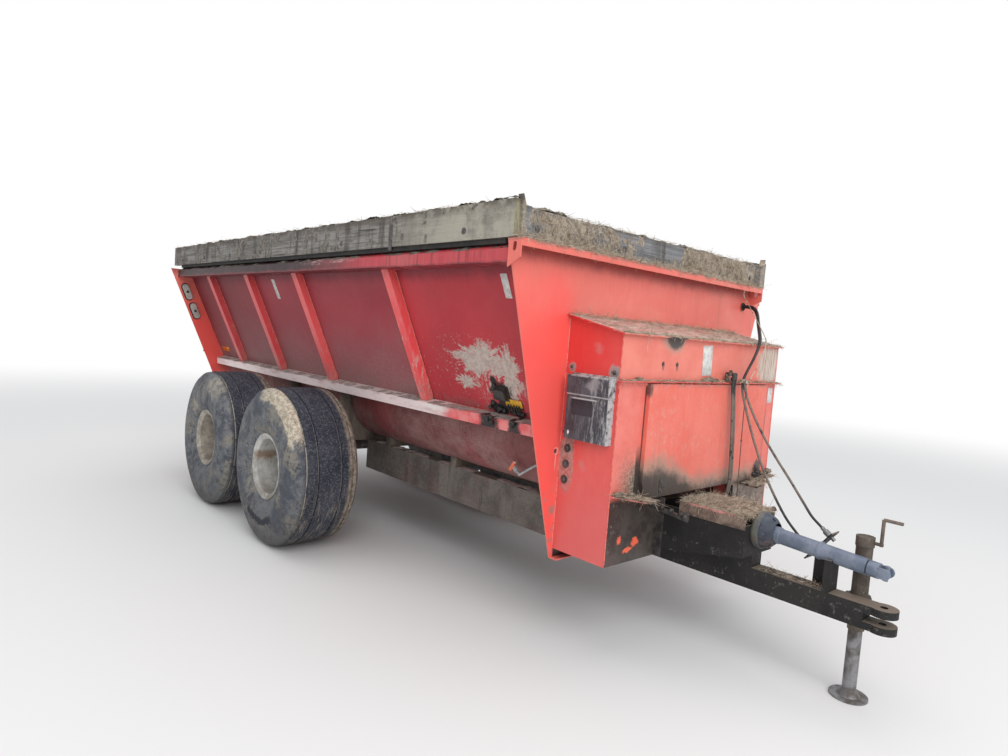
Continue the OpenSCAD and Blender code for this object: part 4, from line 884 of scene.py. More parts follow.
def cover_marks(f):
    """The front cover: salmon with fine mottling, grey-black along its foot, a dark lump low on the left,
    painted shade in the notch at its upper right corner.
    """
    cloud = f.noise(3.2, 7, 0.7, warp=0.8)
    f.coat(f.span(cloud, 0.4, 0.66) * 0.45, (0.84, 0.235, 0.175))
    fine = f.patches(24, 7, 0.82, 0.53, 0.62) * f.span(cloud, 0.3, 0.6)
    f.coat(fine * 0.4, (0.7, 0.36, 0.3))
    height = f.axes[Z] + (f.noise(9, 7, 0.8) - 0.5) * 0.2
    height = height + f.y(-0.38, -0.02) * 0.115
    f.coat(f.span(height, 1.07, 0.965) * 0.85, (0.33, 0.245, 0.185))
    f.coat(f.span(height, 1.0, 0.92) * 0.95, (0.05, 0.043, 0.038))
    lump = f.spot((0.36, 0.64, 0.9), (0.2, 0.05, 0.045), 0.7, 24, 0.3)
    f.coat(lump * 0.9, (0.055, 0.042, 0.036))
    f.coat(drips(f, 0.56, 0.64, 34, 1.6) * f.z(1.3, 1.0) * 0.25, (0.3, 0.17, 0.14))
    edge = f.y(0.676, 0.686)
    f.coat(edge * f.patches(16, 6, 0.75, 0.36, 0.56, 0.2, 0.8), (0.22, 0.1, 0.085))
    # Painted shade: a dark patch in the notch at the cover's upper right corner, beside the gap
    notch_shade = (f.between(Y, -0.535, -0.505, 0.008, 0.02, 30)
             * f.span(f.axes[Z] + f.noise(30, 5) * 0.05, 1.35, 1.385))
    f.coat(notch_shade * 0.85, (0.085, 0.055, 0.045))
    upper = f.z(1.375, 1.398) * f.patches(14, 6, 0.7, 0.42, 0.58)
    f.coat(upper * 0.6, (0.4, 0.19, 0.15))


def cap_marks(f):
    """The tongue's cover: brown with mud, with a thin pink streak along its right edge that fades forward."""
    brown = f.mix(f.patches(14, 7, 0.75, 0.38, 0.6), (0.125, 0.095, 0.075), (0.26, 0.2, 0.155))
    f.coat(0.97, brown)
    top = f.span(f.facing[Z], 0.3, 0.7) * f.patches(12, 6, 0.7, 0.3, 0.5)
    f.coat(top * 0.85, (0.5, 0.41, 0.325))
    streak = (f.y(-0.135, -0.15) * f.span(f.axes[Z] + f.noise(18, 5) * 0.02, 0.774, 0.779)
              * f.between(X, 0.42, 0.66, 0.05))
    f.coat(streak * 0.95, (0.84, 0.3, 0.3))
    low = f.z(0.735, 0.712) * f.patches(16, 6, 0.7, 0.35, 0.55)
    f.coat(low * 0.9, (0.055, 0.043, 0.038))


def muddy(name, base, pale, hint=None, hint_amount=0.5, extra=None, rough=0.88):
    """Steel under a coat of dried mud, with the paint showing through in places."""
    f = Finish(name, rough=rough)
    patch = f.noise(3.0, 8, 0.68, warp=0.3)
    grit = f.noise(85, 4, 0.75)
    flake = f.cells(38)
    f.body = f.mix(f.span(patch, 0.38, 0.62), base, pale)
    if hint:
        f.coat(f.patches(1.9, 7, 0.7, 0.5, 0.62, warp=0.5) * hint_amount, hint)
    f.coat(drips(f, 0.52, 0.68, 20, 1.6) * 0.55, toned(base, 0.55))
    f.coat(f.span(grit, 0.52, 0.74), toned(base, 0.5))
    f.coat(f.patches(33, 5, 0.8, 0.62, 0.66) * 0.7, toned(pale, 1.7))
    if extra:
        extra(f)
    f.colour(f.body)
    height = f.noise(9, 7, 0.65) + grit * 0.25
    f.bump(height - flake * 0.2, 0.5, 0.008)
    return f.mat


def trough_marks(f):
    inside = f.span(f.facing[Z], 0.05, 0.4)
    residue = f.mix(f.patches(6, 7, 0.7, 0.4, 0.6, warp=0.4), (0.06, 0.046, 0.034), (0.17, 0.12, 0.08))
    f.coat(inside, residue)


def tongue_marks(f):
    flecks = f.patches(30, 7, 0.8, 0.62, 0.65) * f.patches(5, 4, 0.6, 0.48, 0.62)
    f.coat(flecks * 0.45, (0.16, 0.14, 0.125))
    low = f.span(f.axes[Z] + f.noise(20, 7, 0.8) * 0.05, 0.64, 0.575) * f.patches(30, 7, 0.8, 0.57, 0.62)
    f.coat(low * 0.45, (0.2, 0.18, 0.155))
    top = f.span(f.facing[Z], 0.4, 0.8)
    f.coat(top * 0.8, (0.22, 0.17, 0.13))


def metal(name, base, second, rough=0.45, metallic=0.7, scale=8.0, grime=0.5, extra=None):
    """Worn bright metal with greasy dirt."""
    f = Finish(name, rough=rough, metal=metallic)
    patch = f.noise(scale, 7, 0.7, warp=0.4)
    fine = f.noise(scale * 12, 4, 0.7)
    f.body = f.mix(f.span(patch, 0.4, 0.62), base, second)
    f.coat(f.patches(scale * 2.2, 6, 0.75, 0.66 - 0.2 * grime, 0.7) * grime, (0.05, 0.04, 0.032))
    f.coat(f.patches(scale * 5, 5, 0.8, 0.66, 0.7), RUST)
    if extra:
        extra(f)
    f.colour(f.body)
    f.rough(f.span(patch, 0.35, 0.65, rough, min(0.95, rough + 0.35)))
    f.bump(patch + fine * 0.3, 0.2, 0.003)
    return f.mat


# The crank's knob ends here, counted from the crank's own box
KNOB_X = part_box("crank_rod")[0].x + 0.048


def crank_marks(f):
    """The crank's knob is painted orange-red."""
    knob = f.span(f.axes[X], KNOB_X + 0.004, KNOB_X)
    f.coat(knob * f.patches(40, 6, 0.8, 0.62, 0.56, 0.25, 0.96), (0.8, 0.2, 0.11))


def plank_finish(name, pale, dark, caked=0.0):
    """Weathered planks along X or Y: grain, splits, dark drips and manure."""
    f = Finish(name, rough=0.9)
    grain = f.noise(1.0, 9, 0.72, stretch=(2.5, 1.2, 75))
    fibre = f.noise(1.0, 7, 0.75, stretch=(12, 5, 260))
    f.body = f.mix(f.span(grain, 0.36, 0.62), dark, pale)
    f.coat(f.span(fibre, 0.5, 0.66) * 0.55, toned(pale, 1.5))
    split = f.patches(1.0, 5, 0.6, 0.655, 0.675, stretch=(0.8, 0.5, 38))
    f.coat(split, (0.025, 0.021, 0.018))
    stain = drips(f, 0.47, 0.6, 11, 1.5) * f.patches(2.4, 5, 0.6, 0.36, 0.56)
    f.coat(stain * 0.85, (0.06, 0.05, 0.042))
    near = f.x(-1.3, -0.3) * f.y(-1.17, -1.19) * f.patches(6, 7, 0.75, 0.34, 0.6, 0.3, 0.9)
    f.coat(near, (0.42, 0.395, 0.32))
    end = f.span(f.facing[X], 0.5, 0.8) * f.span(abs(f.axes[Y]), 1.13, 1.15)
    f.coat(end * 0.85, f.mix(f.patches(1.0, 7, 0.75, 0.4, 0.6, stretch=(30, 30, 6)), (0.165, 0.145, 0.08),
                             (0.33, 0.295, 0.185)))
    knee = f.z(2.15, 2.215) * f.patches(8, 6, 0.7, 0.36, 0.52)
    f.coat(knee * 0.8, (0.085, 0.066, 0.05))
    if caked:
        left = f.y(-0.5, -0.38) * f.y(0.24, 0.14)
        clear = left * 0.13
        cake = f.span(f.noise(11, 8, 0.78, warp=0.5) - clear, 0.62 - 0.3 * caked, 0.58)
        f.coat(cake * 0.9, f.mix(f.patches(60, 4, 0.8, 0.42, 0.6), (0.22, 0.175, 0.135), (0.5, 0.42, 0.33)))
    f.colour(f.body)
    height = grain + fibre * 0.5
    f.bump(height - split * 0.8, 0.6, 0.006)
    return f.mat


def from_axle(f):
    """How far a place is ahead of its own wheel's axle, above it, and away from it."""
    middle = WALL_X + WHEELS_MIDDLE
    ahead = abs(f.axes[X] - middle) - AXLE_REACH
    up = f.axes[Z] - AXLE_HIGH
    return ahead, up, f.calc("SQRT", ahead * ahead + up * up)


def tyre_finish(name):
    """Worn implement tyres: blue-black tread, pale groove lines, muddy sidewalls with streaks and patches."""
    f = Finish(name, rough=0.82)
    off = abs(f.axes[Y]) - WHEEL_Y
    along = abs(off)
    ahead, up, away = from_axle(f)
    turn = f.calc("ARCTAN2", up, ahead)

    def round_noise(around, outward, across=0.0):
        """Noise in the wheel's own directions: round the axle, outward and across the tread."""
        way = f.add("ShaderNodeCombineXYZ", turn * around, away * outward, off * across)
        return f.noise(1.0, 7, 0.75, where=way.outputs[0])

    patch = f.noise(5, 7, 0.7, warp=0.4)
    f.body = f.mix(f.span(patch, 0.38, 0.64), (0.012, 0.016, 0.03), (0.04, 0.045, 0.062))
    fleck = f.noise(70, 6, 0.85)
    f.coat(f.span(fleck, 0.52, 0.6) * 0.75, (0.165, 0.165, 0.175))
    tread = f.span(away, 0.51, 0.526)
    low = f.z(0.62, 0.22)
    caught = tread * low * f.span(round_noise(4, 0, 75), 0.52, 0.58)
    f.coat(caught * 0.8, (0.24, 0.205, 0.17))
    for place, strength, wide in ((0.0833, 0.45, 0.0034), (0.1617, 0.9, 0.004)):
        line = f.span(abs(along - place), wide * 1.7, wide * 0.7)
        line = line * tread * (f.span(round_noise(9, 0, 3), 0.4, 0.52) | f.patches(50, 5, 0.8, 0.5, 0.58))
        f.coat(line * strength, (0.52, 0.47, 0.4))
    # The sidewalls and shoulders: grey and beige mud with streaks outward
    wall = f.span(along, 0.16, 0.196)
    streak = round_noise(13, 12)
    blotch = f.noise(6, 8, 0.75, warp=0.5)
    mud = f.mix(f.span(blotch, 0.38, 0.58), (0.06, 0.068, 0.086), (0.165, 0.172, 0.182))
    mud = f.mix(f.patches(4.5, 8, 0.75, 0.5, 0.6, warp=0.6) * 0.75, mud, (0.27, 0.24, 0.195))
    mud = f.mix(f.span(streak, 0.54, 0.64) * 0.5, mud, (0.3, 0.275, 0.235))
    mud = f.mix(f.span(streak, 0.44, 0.36) * 0.6, mud, (0.04, 0.043, 0.053))
    mud = f.mix(f.patches(26, 8, 0.82, 0.53, 0.6) * 0.75, mud, (0.034, 0.037, 0.047))
    mud = f.mix(f.patches(44, 7, 0.85, 0.6, 0.66) * 0.7, mud, (0.36, 0.33, 0.28))
    mud = f.mix(f.z(0.5, 0.1) * 0.45, mud, (0.06, 0.058, 0.056))
    f.coat(wall * f.patches(20, 7, 0.8, 0.3, 0.46, 0.55, 0.97), mud)
    worn = wall * f.within(away, 0.335, 0.47, 0.05) * f.patches(3.4, 6, 0.7, 0.52, 0.62)
    f.coat(worn * 0.8, (0.06, 0.066, 0.085))
    inner = f.span(off, -0.125, -0.15) * f.patches(12, 7, 0.75, 0.3, 0.48, 0.35, 0.95)
    f.coat(inner * tread,
           f.mix(f.patches(32, 7, 0.8, 0.42, 0.58), (0.135, 0.105, 0.08), (0.335, 0.28, 0.225)))
    # Places of their own on the front wheel: a tan cake on the shoulder, a bare crescent low on the sidewall
    front_x = f.axes[X] - (WALL_X + WHEELS_MIDDLE + AXLE_REACH)
    front_turn = f.calc("ARCTAN2", up, front_x)
    outer = f.span(off, 0.085, 0.105) * f.span(abs(front_x), 0.58, 0.56)
    edge = (f.noise(15, 8, 0.8) - 0.5) * 0.9
    cake = f.span(front_turn + edge, 0.42, 0.52) * f.span(front_turn + edge, 1.82, 1.66)
    cake = cake * f.span(away + edge * 0.16, 0.452, 0.47)
    cake = cake * outer * f.span(off, 0.166, 0.172, 0.0, 1.0)
    tan = f.mix(f.patches(40, 7, 0.8, 0.4, 0.6), (0.34, 0.275, 0.2), (0.64, 0.565, 0.45))
    holes = f.patches(46, 7, 0.85, 0.6, 0.54, 0.15, 0.96)
    f.coat(cake * holes, tan)
    bare = (f.span(front_turn + edge * 0.25, -2.15, -2.05) * f.span(front_turn + edge * 0.25, -0.98, -1.08)
            * f.within(away + edge * 0.1, 0.352, 0.398, 0.008))
    f.coat(bare * outer * 0.92, (0.012, 0.014, 0.026))
    for x, z, reach in ((-3.2, 1.0, 0.12), (-3.62, 0.8, 0.08)):
        rub = f.spot((x, -1.36, z), (reach, 0.2, reach * 0.8), 0.8, 9, 0.4)
        f.coat(rub * wall * f.patches(26, 6, 0.8, 0.42, 0.56), (0.32, 0.285, 0.235))
    foot = f.z(0.17, 0.02) * f.patches(11, 6, 0.7, 0.3, 0.52)
    f.coat(foot * 0.6, (0.1, 0.09, 0.076))
    f.colour(f.body)
    ring = f.calc("SINE", away * 640.0)
    rings = wall * (f.within(away, 0.3, 0.33) | f.within(away, 0.462, 0.49)) * (ring * 0.16)
    sipe = f.span(round_noise(60, 0, 40), 0.45, 0.6) * 0.35
    f.bump(f.noise(30, 6, 0.75) + rings + (sipe + cake * 0.9), 0.4, 0.005)
    return f.mat


def rim_finish(name):
    """Pale rims under dust, with rust at the welds and mud in the dish."""
    f = Finish(name, rough=0.72)
    away = from_axle(f)[2]
    patch = f.noise(7, 7, 0.7, warp=0.4)
    f.body = f.mix(f.span(patch, 0.36, 0.64), (0.34, 0.33, 0.3), (0.56, 0.555, 0.53))
    behind = f.x(WHEELS_MIDDLE + 0.05, WHEELS_MIDDLE - 0.05)
    f.coat(behind * 0.65, f.mix(f.span(patch, 0.4, 0.6), (0.22, 0.185, 0.145), (0.43, 0.36, 0.275)))
    f.coat(f.patches(18, 6, 0.75, 0.52, 0.64) * 0.7, (0.22, 0.19, 0.155))
    seam = f.within(away, 0.136, 0.146, 0.006) | f.within(away, 0.074, 0.08, 0.005)
    f.coat(seam * f.patches(20, 6, 0.75, 0.38, 0.56), RUST)
    f.coat(f.spot((-2.335, -1.3, 0.6), (0.05, 0.12, 0.034), 0.9, 30, 0.5) * 0.75, (0.2, 0.105, 0.05))
    foot = f.z(0.5, 0.34) * f.patches(12, 6, 0.7, 0.32, 0.52)
    f.coat(foot * 0.7, (0.17, 0.14, 0.11))
    f.colour(f.body)
    f.bump(patch + f.noise(60, 4) * 0.4, 0.3, 0.004)
    return f.mat


def plastic(name, base, second, rough, extra=None, scale=9.0):
    f = Finish(name, rough=rough)
    patch = f.noise(scale, 7, 0.7, warp=0.3)
    f.body = f.mix(f.span(patch, 0.4, 0.64), base, second)
    f.coat(f.patches(scale * 5, 6, 0.8, 0.6, 0.66) * 0.6, toned(second, 1.8))
    if extra:
        extra(f)
    f.colour(f.body)
    f.rough(f.span(patch, 0.35, 0.65, rough, min(0.95, rough + 0.3)))
    f.bump(f.noise(160, 3) + patch, 0.15, 0.002)
    return f.mat


def box_marks(f):
    """The document box: pale scuffs on its right, a double pale line at the lid, a painted highlight over its
    top and front end, painted shade in its hollow, a tick.
    """
    share = f.x(0.15, 0.27, 0.15, 1.0)
    scuff = f.patches(1.0, 7, 0.8, 0.5, 0.6, stretch=(60, 60, 9)) * share
    f.coat(scuff * 0.85, (0.36, 0.365, 0.37))
    rub = f.spot((0.225, -0.79, 1.375), (0.032, 0.2, 0.034), 1.5, 34, 0.5)
    f.coat(rub * 0.55, (0.36, 0.34, 0.34))
    far = f.span(f.facing[X], 0.4, 0.8) * f.x(0.3, 0.31)
    f.coat(far * 0.85, f.mix(f.patches(30, 6, 0.8, 0.45, 0.62), (0.05, 0.048, 0.053), (0.19, 0.175, 0.165)))
    seam = (f.between(Z, 1.3185, 1.3245, 0.002)
            | f.between(Z, 1.3, 1.306, 0.003) * f.between(X, 0.09, 0.25, 0.02))
    f.coat(seam * f.patches(24, 6, 0.8, 0.3, 0.55, 0.35, 0.95), (0.52, 0.51, 0.5))
    # Painted highlight: pale patches over the box's top and its front end
    rim = f.z(1.408, 1.414) | f.x(0.316, 0.321)
    f.coat(rim * f.patches(30, 6, 0.8, 0.38, 0.55), (0.46, 0.46, 0.46))
    # Painted shade: the hollow darkened, most of all at its top
    hollow = f.between(X, 0.091, 0.223, 0.002) * f.between(Z, 1.222, 1.296, 0.002)
    f.coat(hollow * 0.9, f.mix(f.z(1.29, 1.23), (0.02, 0.02, 0.026), (0.034, 0.034, 0.042)))
    tick = f.spot((0.083, -0.79, 1.128), (0.006, 0.2, 0.01), 0.5, 40, 0.3)
    f.coat(tick, (0.8, 0.79, 0.8))


def bell_marks(f):
    """The bell: an olive, dusty rim, worn bare and rusty towards its lower front."""
    rim = f.x(0.775, 0.755) * f.patches(26, 6, 0.75, 0.3, 0.56, 0.3, 0.9)
    f.coat(rim, (0.155, 0.15, 0.118))
    worn = f.z(0.7, 0.66) * f.patches(22, 6, 0.8, 0.46, 0.56)
    f.coat(worn * 0.7, (0.13, 0.085, 0.072))
    top = f.z(0.735, 0.775) * f.patches(18, 6, 0.7, 0.36, 0.6)
    f.coat(top * 0.4, (0.15, 0.18, 0.205))


def lamp_marks(f):
    """Red lenses to the rear, pale bodies and black grommets towards the front."""
    lens = f.span(f.facing[X], -0.3, -0.6)
    f.coat(lens, (0.48, 0.022, 0.02))
    rim = f.between(X, -4.963, -4.952, 0.001)
    f.coat(rim, (0.02, 0.02, 0.02))


# The looks of the frame's nodes
LOOKS = {
    "right_side_sheet left_side_sheet":
        paint("side_paint", SIDE_RED, SIDE_PALE, (0.19, 0.1, 0.092), 0.22, 0.25, side_marks, 0.62,
              hairs=0.08),
    "side_ribs":
        paint("rib_paint", (0.9, 0.08, 0.09), (0.92, 0.145, 0.145), (0.46, 0.26, 0.23), 0.2, 0.4, rib_marks,
              hairs=0.15),
    "top_rails":
        paint("rail_paint", (0.5, 0.036, 0.052), (0.54, 0.085, 0.095), MUD, 0.35, 0.5, rail_marks),
    "lower_rails":
        paint("low_rail_paint", (0.44, 0.095, 0.1), (0.46, 0.26, 0.25), DUST, 0.6, 0.6, dusty_rail_marks),
    "front_wall rear_wall":
        paint("wall_paint", (0.8, 0.165, 0.13), (0.86, 0.235, 0.185), DUST, 0.08, 0.3, wall_marks,
              0.36, 0.2, 0.12),
    "housing_shell":
        paint("housing_paint", (0.76, 0.06, 0.052), (0.8, 0.125, 0.105), DUST, 0.1, 0.4, housing_marks,
              0.4, 0.2, 0.15),
    "housing_cover":
        paint("cover_paint", (0.77, 0.13, 0.09), (0.82, 0.18, 0.13), DUST, 0.08, 0.4, cover_marks,
              0.42, 0.2, 0.16),
    "tongue_cover":
        paint("cap_paint", (0.62, 0.1, 0.085), PALE_RED, DUST, 0.7, 0.6, cap_marks, 0.55),
    "expeller_shell discharge_hood discharge_door":
        paint("chamber_paint", DEEP_RED, (0.5, 0.1, 0.085), MUD, 0.75, 0.6),
    "cross_members saddle walking_beams jack_tube":
        muddy("muddy_steel", (0.085, 0.068, 0.054), (0.19, 0.155, 0.125)),
    "frame_beams":
        muddy("muddy_beam", (0.1, 0.086, 0.076), (0.185, 0.16, 0.14), (0.17, 0.06, 0.055), 0.35),
    "trough":
        muddy("muddy_trough", (0.225, 0.08, 0.076), (0.32, 0.165, 0.155), (0.38, 0.065, 0.07), 0.6,
              extra=trough_marks),
    "right_auger_tube right_auger_flight left_auger_tube left_auger_flight expeller_rotor":
        muddy("muddy_auger", (0.06, 0.046, 0.036), (0.17, 0.125, 0.09), (0.2, 0.17, 0.15), 0.4),
    "tongue":
        muddy("muddy_tongue", (0.007, 0.0066, 0.0066), (0.018, 0.016, 0.0145), extra=tongue_marks, rough=0.7),
    "bearings pivot_shaft jack_leg supply_coupler return_coupler":
        metal("worn_steel", (0.3, 0.3, 0.31), (0.15, 0.13, 0.115)),
    "door_rod":
        metal("bright_rod", (0.55, 0.56, 0.57), (0.4, 0.4, 0.4), 0.25, 0.95, 10, 0.2),
    "crank_rod":
        metal("crank_steel", (0.5, 0.51, 0.52), (0.34, 0.34, 0.34), 0.42, 0.25, 10, 0.3, crank_marks),
    "grease_bank":
        metal("greasy_steel", (0.06, 0.055, 0.05), (0.02, 0.018, 0.017), 0.35, 0.2, 14, 0.9),
    "expeller_hammers":
        metal("hammer_steel", (0.26, 0.24, 0.22), (0.13, 0.1, 0.08), 0.5, 0.6),
    "drive_guard drive_shaft":
        metal("guard_steel", (0.13, 0.16, 0.215), (0.23, 0.265, 0.33), 0.42, 0.35, 7, 0.4),
    "side_boards":
        plank_finish("plank", (0.27, 0.255, 0.235), (0.105, 0.096, 0.086)),
    "end_boards":
        plank_finish("caked_board", (0.26, 0.265, 0.275), (0.12, 0.122, 0.128), 0.6),
    "rubber_strips":
        plastic("rubber_strip", (0.016, 0.016, 0.017), (0.045, 0.042, 0.038), 0.75),
    "front_right_tyre front_left_tyre rear_right_tyre rear_left_tyre":
        tyre_finish("tyre_rubber"),
    "front_right_rim front_left_rim rear_right_rim rear_left_rim":
        rim_finish("rim_paint"),
    "document_box document_lid":
        plastic("box_plastic", (0.036, 0.037, 0.046), (0.09, 0.092, 0.105), 0.5, box_marks),
    "drive_bell":
        plastic("bell_plastic", (0.022, 0.028, 0.043), (0.055, 0.065, 0.088), 0.5, bell_marks),
    "rear_lamps":
        plastic("lamp_plastic", (0.5, 0.49, 0.46), (0.36, 0.34, 0.31), 0.3, lamp_marks),
    "door_cylinder":
        metal("cylinder_paint", (0.1, 0.1, 0.105), (0.045, 0.042, 0.04), 0.5, 0.2),
}


def dress_nodes():
    for names, material in LOOKS.items():
        for name in names.split():
            for slot in NODES[name].material_slots:
                slot.material = material


dress_nodes()


def around(x, y, z, r, turn):
    """A place at r from a line across the machine, turned round it."""
    return at(x + r * math.cos(turn), y, z + r * math.sin(turn))


# Pieces on the frame: dirt, straw, bolts, labels and small trim


def finish_straw(name, pale, dark):
    """Trodden straw and manure: tan strands over dark clods."""
    f = Finish(name, rough=0.95)
    clump = f.noise(26, 7, 0.75, warp=0.6)
    strands = f.noise(1.0, 6, 0.8, stretch=(60, 240, 200), warp=1.5)
    across = f.noise(1.0, 6, 0.8, stretch=(230, 55, 160), warp=1.5)
    f.body = f.mix(f.span(clump, 0.36, 0.6), dark, pale)
    strand = f.span(strands, 0.58, 0.68) | f.span(across, 0.6, 0.7)
    f.coat(strand * 0.8, toned(pale, 1.55))
    f.coat(f.patches(70, 5, 0.8, 0.6, 0.68), toned(dark, 0.35))
    f.colour(f.body)
    f.bump(clump + (strands + across) * 0.5, 0.8, 0.012)
    return f.mat


def finish_strand(name, colours):
    """Loose straws, each of its own tone."""
    f = Finish(name, rough=0.8)
    f.body = f.mix(f.patches(31, 2, 0.5, 0.38, 0.6), colours[0], colours[1])
    f.coat(f.patches(57, 2, 0.5, 0.56, 0.64), colours[2])
    f.colour(f.body)
    f.bump(f.noise(300, 3), 0.3, 0.001)
    return f.mat


def finish_plain(name, base, second, rough, scale=60, bump=0.1):
    f = Finish(name, rough=rough)
    patch = f.noise(scale, 5, 0.7)
    f.colour(f.mix(f.span(patch, 0.42, 0.64), base, second))
    f.bump(patch, bump, 0.001)
    return f.mat


STRAW_DIRT = finish_straw("straw_dirt", (0.36, 0.29, 0.225), (0.1, 0.078, 0.06))
DARK_DIRT = finish_straw("dark_dirt", (0.19, 0.155, 0.122), (0.05, 0.04, 0.033))
GREY_DIRT = finish_straw("grey_dirt", (0.27, 0.24, 0.205), (0.085, 0.075, 0.066))
BOARD_DIRT = finish_straw("board_straw_dirt", (0.48, 0.405, 0.32), (0.185, 0.148, 0.116))
PALE_DIRT = finish_straw("pale_dirt", (0.52, 0.44, 0.41), (0.3, 0.235, 0.215))
STRANDS = finish_strand("straw_strands", ((0.43, 0.345, 0.255), (0.62, 0.53, 0.41), (0.18, 0.13, 0.095)))
DULL_STRANDS = finish_strand("dull_strands", ((0.32, 0.265, 0.205), (0.46, 0.4, 0.32), (0.13, 0.1, 0.08)))
LABEL_WHITE = plastic("label_white", (0.72, 0.72, 0.7), (0.52, 0.49, 0.45), 0.45, None, 30)
LABEL_YELLOW = plastic("label_yellow", (0.8, 0.47, 0.03), (0.52, 0.26, 0.03), 0.45, None, 24)
AMBER = plastic("reflector_amber", (0.78, 0.23, 0.02), (0.42, 0.12, 0.02), 0.2, None, 20)
RED_LENS = plastic("reflector_red", (0.45, 0.018, 0.016), (0.25, 0.02, 0.02), 0.2, None, 20)
BOLT_DARK = metal("bolt_dark", (0.14, 0.135, 0.13), (0.07, 0.062, 0.055), 0.5, 0.5, 40, 0.5)
BOLT_PALE = metal("bolt_pale", (0.42, 0.42, 0.41), (0.26, 0.24, 0.22), 0.4, 0.7, 40, 0.3)
BOLT_RED = finish_plain("bolt_red", (0.62, 0.07, 0.055), (0.34, 0.07, 0.06), 0.5, 50)
WELD_PAINT = finish_plain("weld_paint", (0.8, 0.2, 0.17), (0.62, 0.075, 0.065), 0.45, 40)
GREASE_LUMP = finish_plain("grease_lump", (0.014, 0.013, 0.013), (0.055, 0.045, 0.038), 0.45, 30, 0.6)
GROMMET = finish_plain("grommet_rubber", (0.018, 0.018, 0.019), (0.05, 0.047, 0.043), 0.7)


def make_housing_dirt():
    rng = np.random.default_rng(11)
    dirt, straws = Shape(), Shape()
    # The top plate, its front edge and the wall's foot above it
    place, u, v = at(0.0, -0.768, 1.7185), vec(0.368, 0, -0.079), vec(0, 1.605, 0)
    up = vec(0.21, 0, 0.98)
    dirt.crust(place, u, v, up, height=0.014, cover=0.46, step=0.009, scale=7, edge=0.01,
               thin=lambda a, b: (1.25 * (1 - math.exp(-min(a, 1 - a) * 9)) * (1.1 - 0.75 * b)
                                  - 0.25 * (a < 0.08)))
    straws.strew(rng, 560, place, u, v, up, length=(0.03, 0.11), lift=0.004, kind=0, along=(0, 1.4, 0))
    straws.strew(rng, 420, place, u * 0.16, v, up, length=(0.02, 0.08), lift=0.012, kind=0)
    edge = at(HOUSING_FRONT, -0.76, 1.645)
    straws.strew(rng, 620, edge, vec(0.024, 0, 0), vec(0, 1.59, 0), (0.3, 0, 1), length=(0.02, 0.06),
          lift=0.008, hang=0.25)
    for y, reach in ((-0.585, 0.085), (-0.562, 0.04), (-0.3, 0.03), (-0.12, 0.022), (0.12, 0.03),
                     (0.33, 0.035), (0.62, 0.045)):
        line = [at(0.371 + 0.003 * math.sin(k * 1.9 + y * 9), y + 0.004 * math.sin(k * 1.3),
                   1.642 - reach * k / 4) for k in range(5)]
        straws.tube(spline(line, 3), lambda share: 0.0016 * (1.1 - 0.8 * share), 5, 0)
    # The shelf over the cover
    place, u, v = at(0.346, -0.763, 1.4145), vec(0.028, 0, 0), vec(0, 1.595, 0)
    dirt.crust(place, u, v, (0, 0, 1), height=0.015, cover=0.5, step=0.006, scale=11, edge=0.004)
    straws.strew(rng, 700, place, u, v, (0, 0, 1), length=(0.02, 0.07), lift=0.009, hang=0.22)
    # The ledges between the corners and the cover
    for side, reach, high in ((-1, -HOUSING_RIGHT, 0.858), (1, HOUSING_LEFT, 0.836)):
        slope = 0.034 / (reach - 0.5)
        place = at(0.346, side * (reach - 0.005), high + 0.001)
        v = Vector((0, -side * (reach - 0.505), -0.034))
        up = vec(0, -side * slope, 1).normalized()
        dirt.crust(place, vec(0.065, 0, 0), v, up, height=0.016, cover=0.72, step=0.006, scale=12, edge=0.006)
        dirt.crust(place + vec(0.05, 0, 0) + v * 0.45, vec(0.052, 0, 0), v * 0.55, up, height=0.013,
                   cover=0.7, step=0.006, scale=13, edge=0.006)
        straws.strew(rng, 240, place, vec(0.06, 0, 0), v, up, length=(0.02, 0.09), lift=0.012, hang=0.12)
        straws.strew(rng, 120, place + v * 0.5, vec(0.105, 0, 0), v * 0.5, up, length=(0.02, 0.08), lift=0.01,
              hang=0.2)
    for seed, (y, z, size) in enumerate((
        (0.02, 1.428, 0.02), (-0.03, 1.424, 0.014), (0.09, 1.423, 0.013), (-0.62, 1.422, 0.014),
        (0.8, 0.858, 0.022), (0.74, 0.852, 0.017), (-0.7, 0.866, 0.016), (-0.6, 0.853, 0.013),
    )):
        dirt.clod(at(0.362, y, z), (size, size * 1.7, size * 0.75), seed + 3)
    # Dirt caught round the two elbows
    for seed, (x, y, z, size) in enumerate((
        (0.372, 0.19, 1.432, 0.014), (0.38, 0.204, 1.462, 0.012), (0.374, 0.216, 1.478, 0.009),
        (0.376, 0.242, 1.436, 0.012), (0.368, 0.178, 1.452, 0.009),
    )):
        dirt.clod(at(x, y, z), (size, size * 1.2, size), seed + 21, 1)
    # Runs of twine that lie along the shelf
    for seed in range(3):
        line = [at(0.36 + 0.006 * math.sin(seed + k * 1.3), 0.02 + k * 0.055 + seed * 0.02,
                   1.4205 + 0.002 * math.sin(k * 2.1)) for k in range(7)]
        straws.tube(spline(line, 3), 0.0017, 5, 1)
    dirt.made("housing_dirt", [STRAW_DIRT, DARK_DIRT], slot="twine_fibre")
    straws.made("housing_straw", [STRANDS, TWINE], slot="twine_fibre")


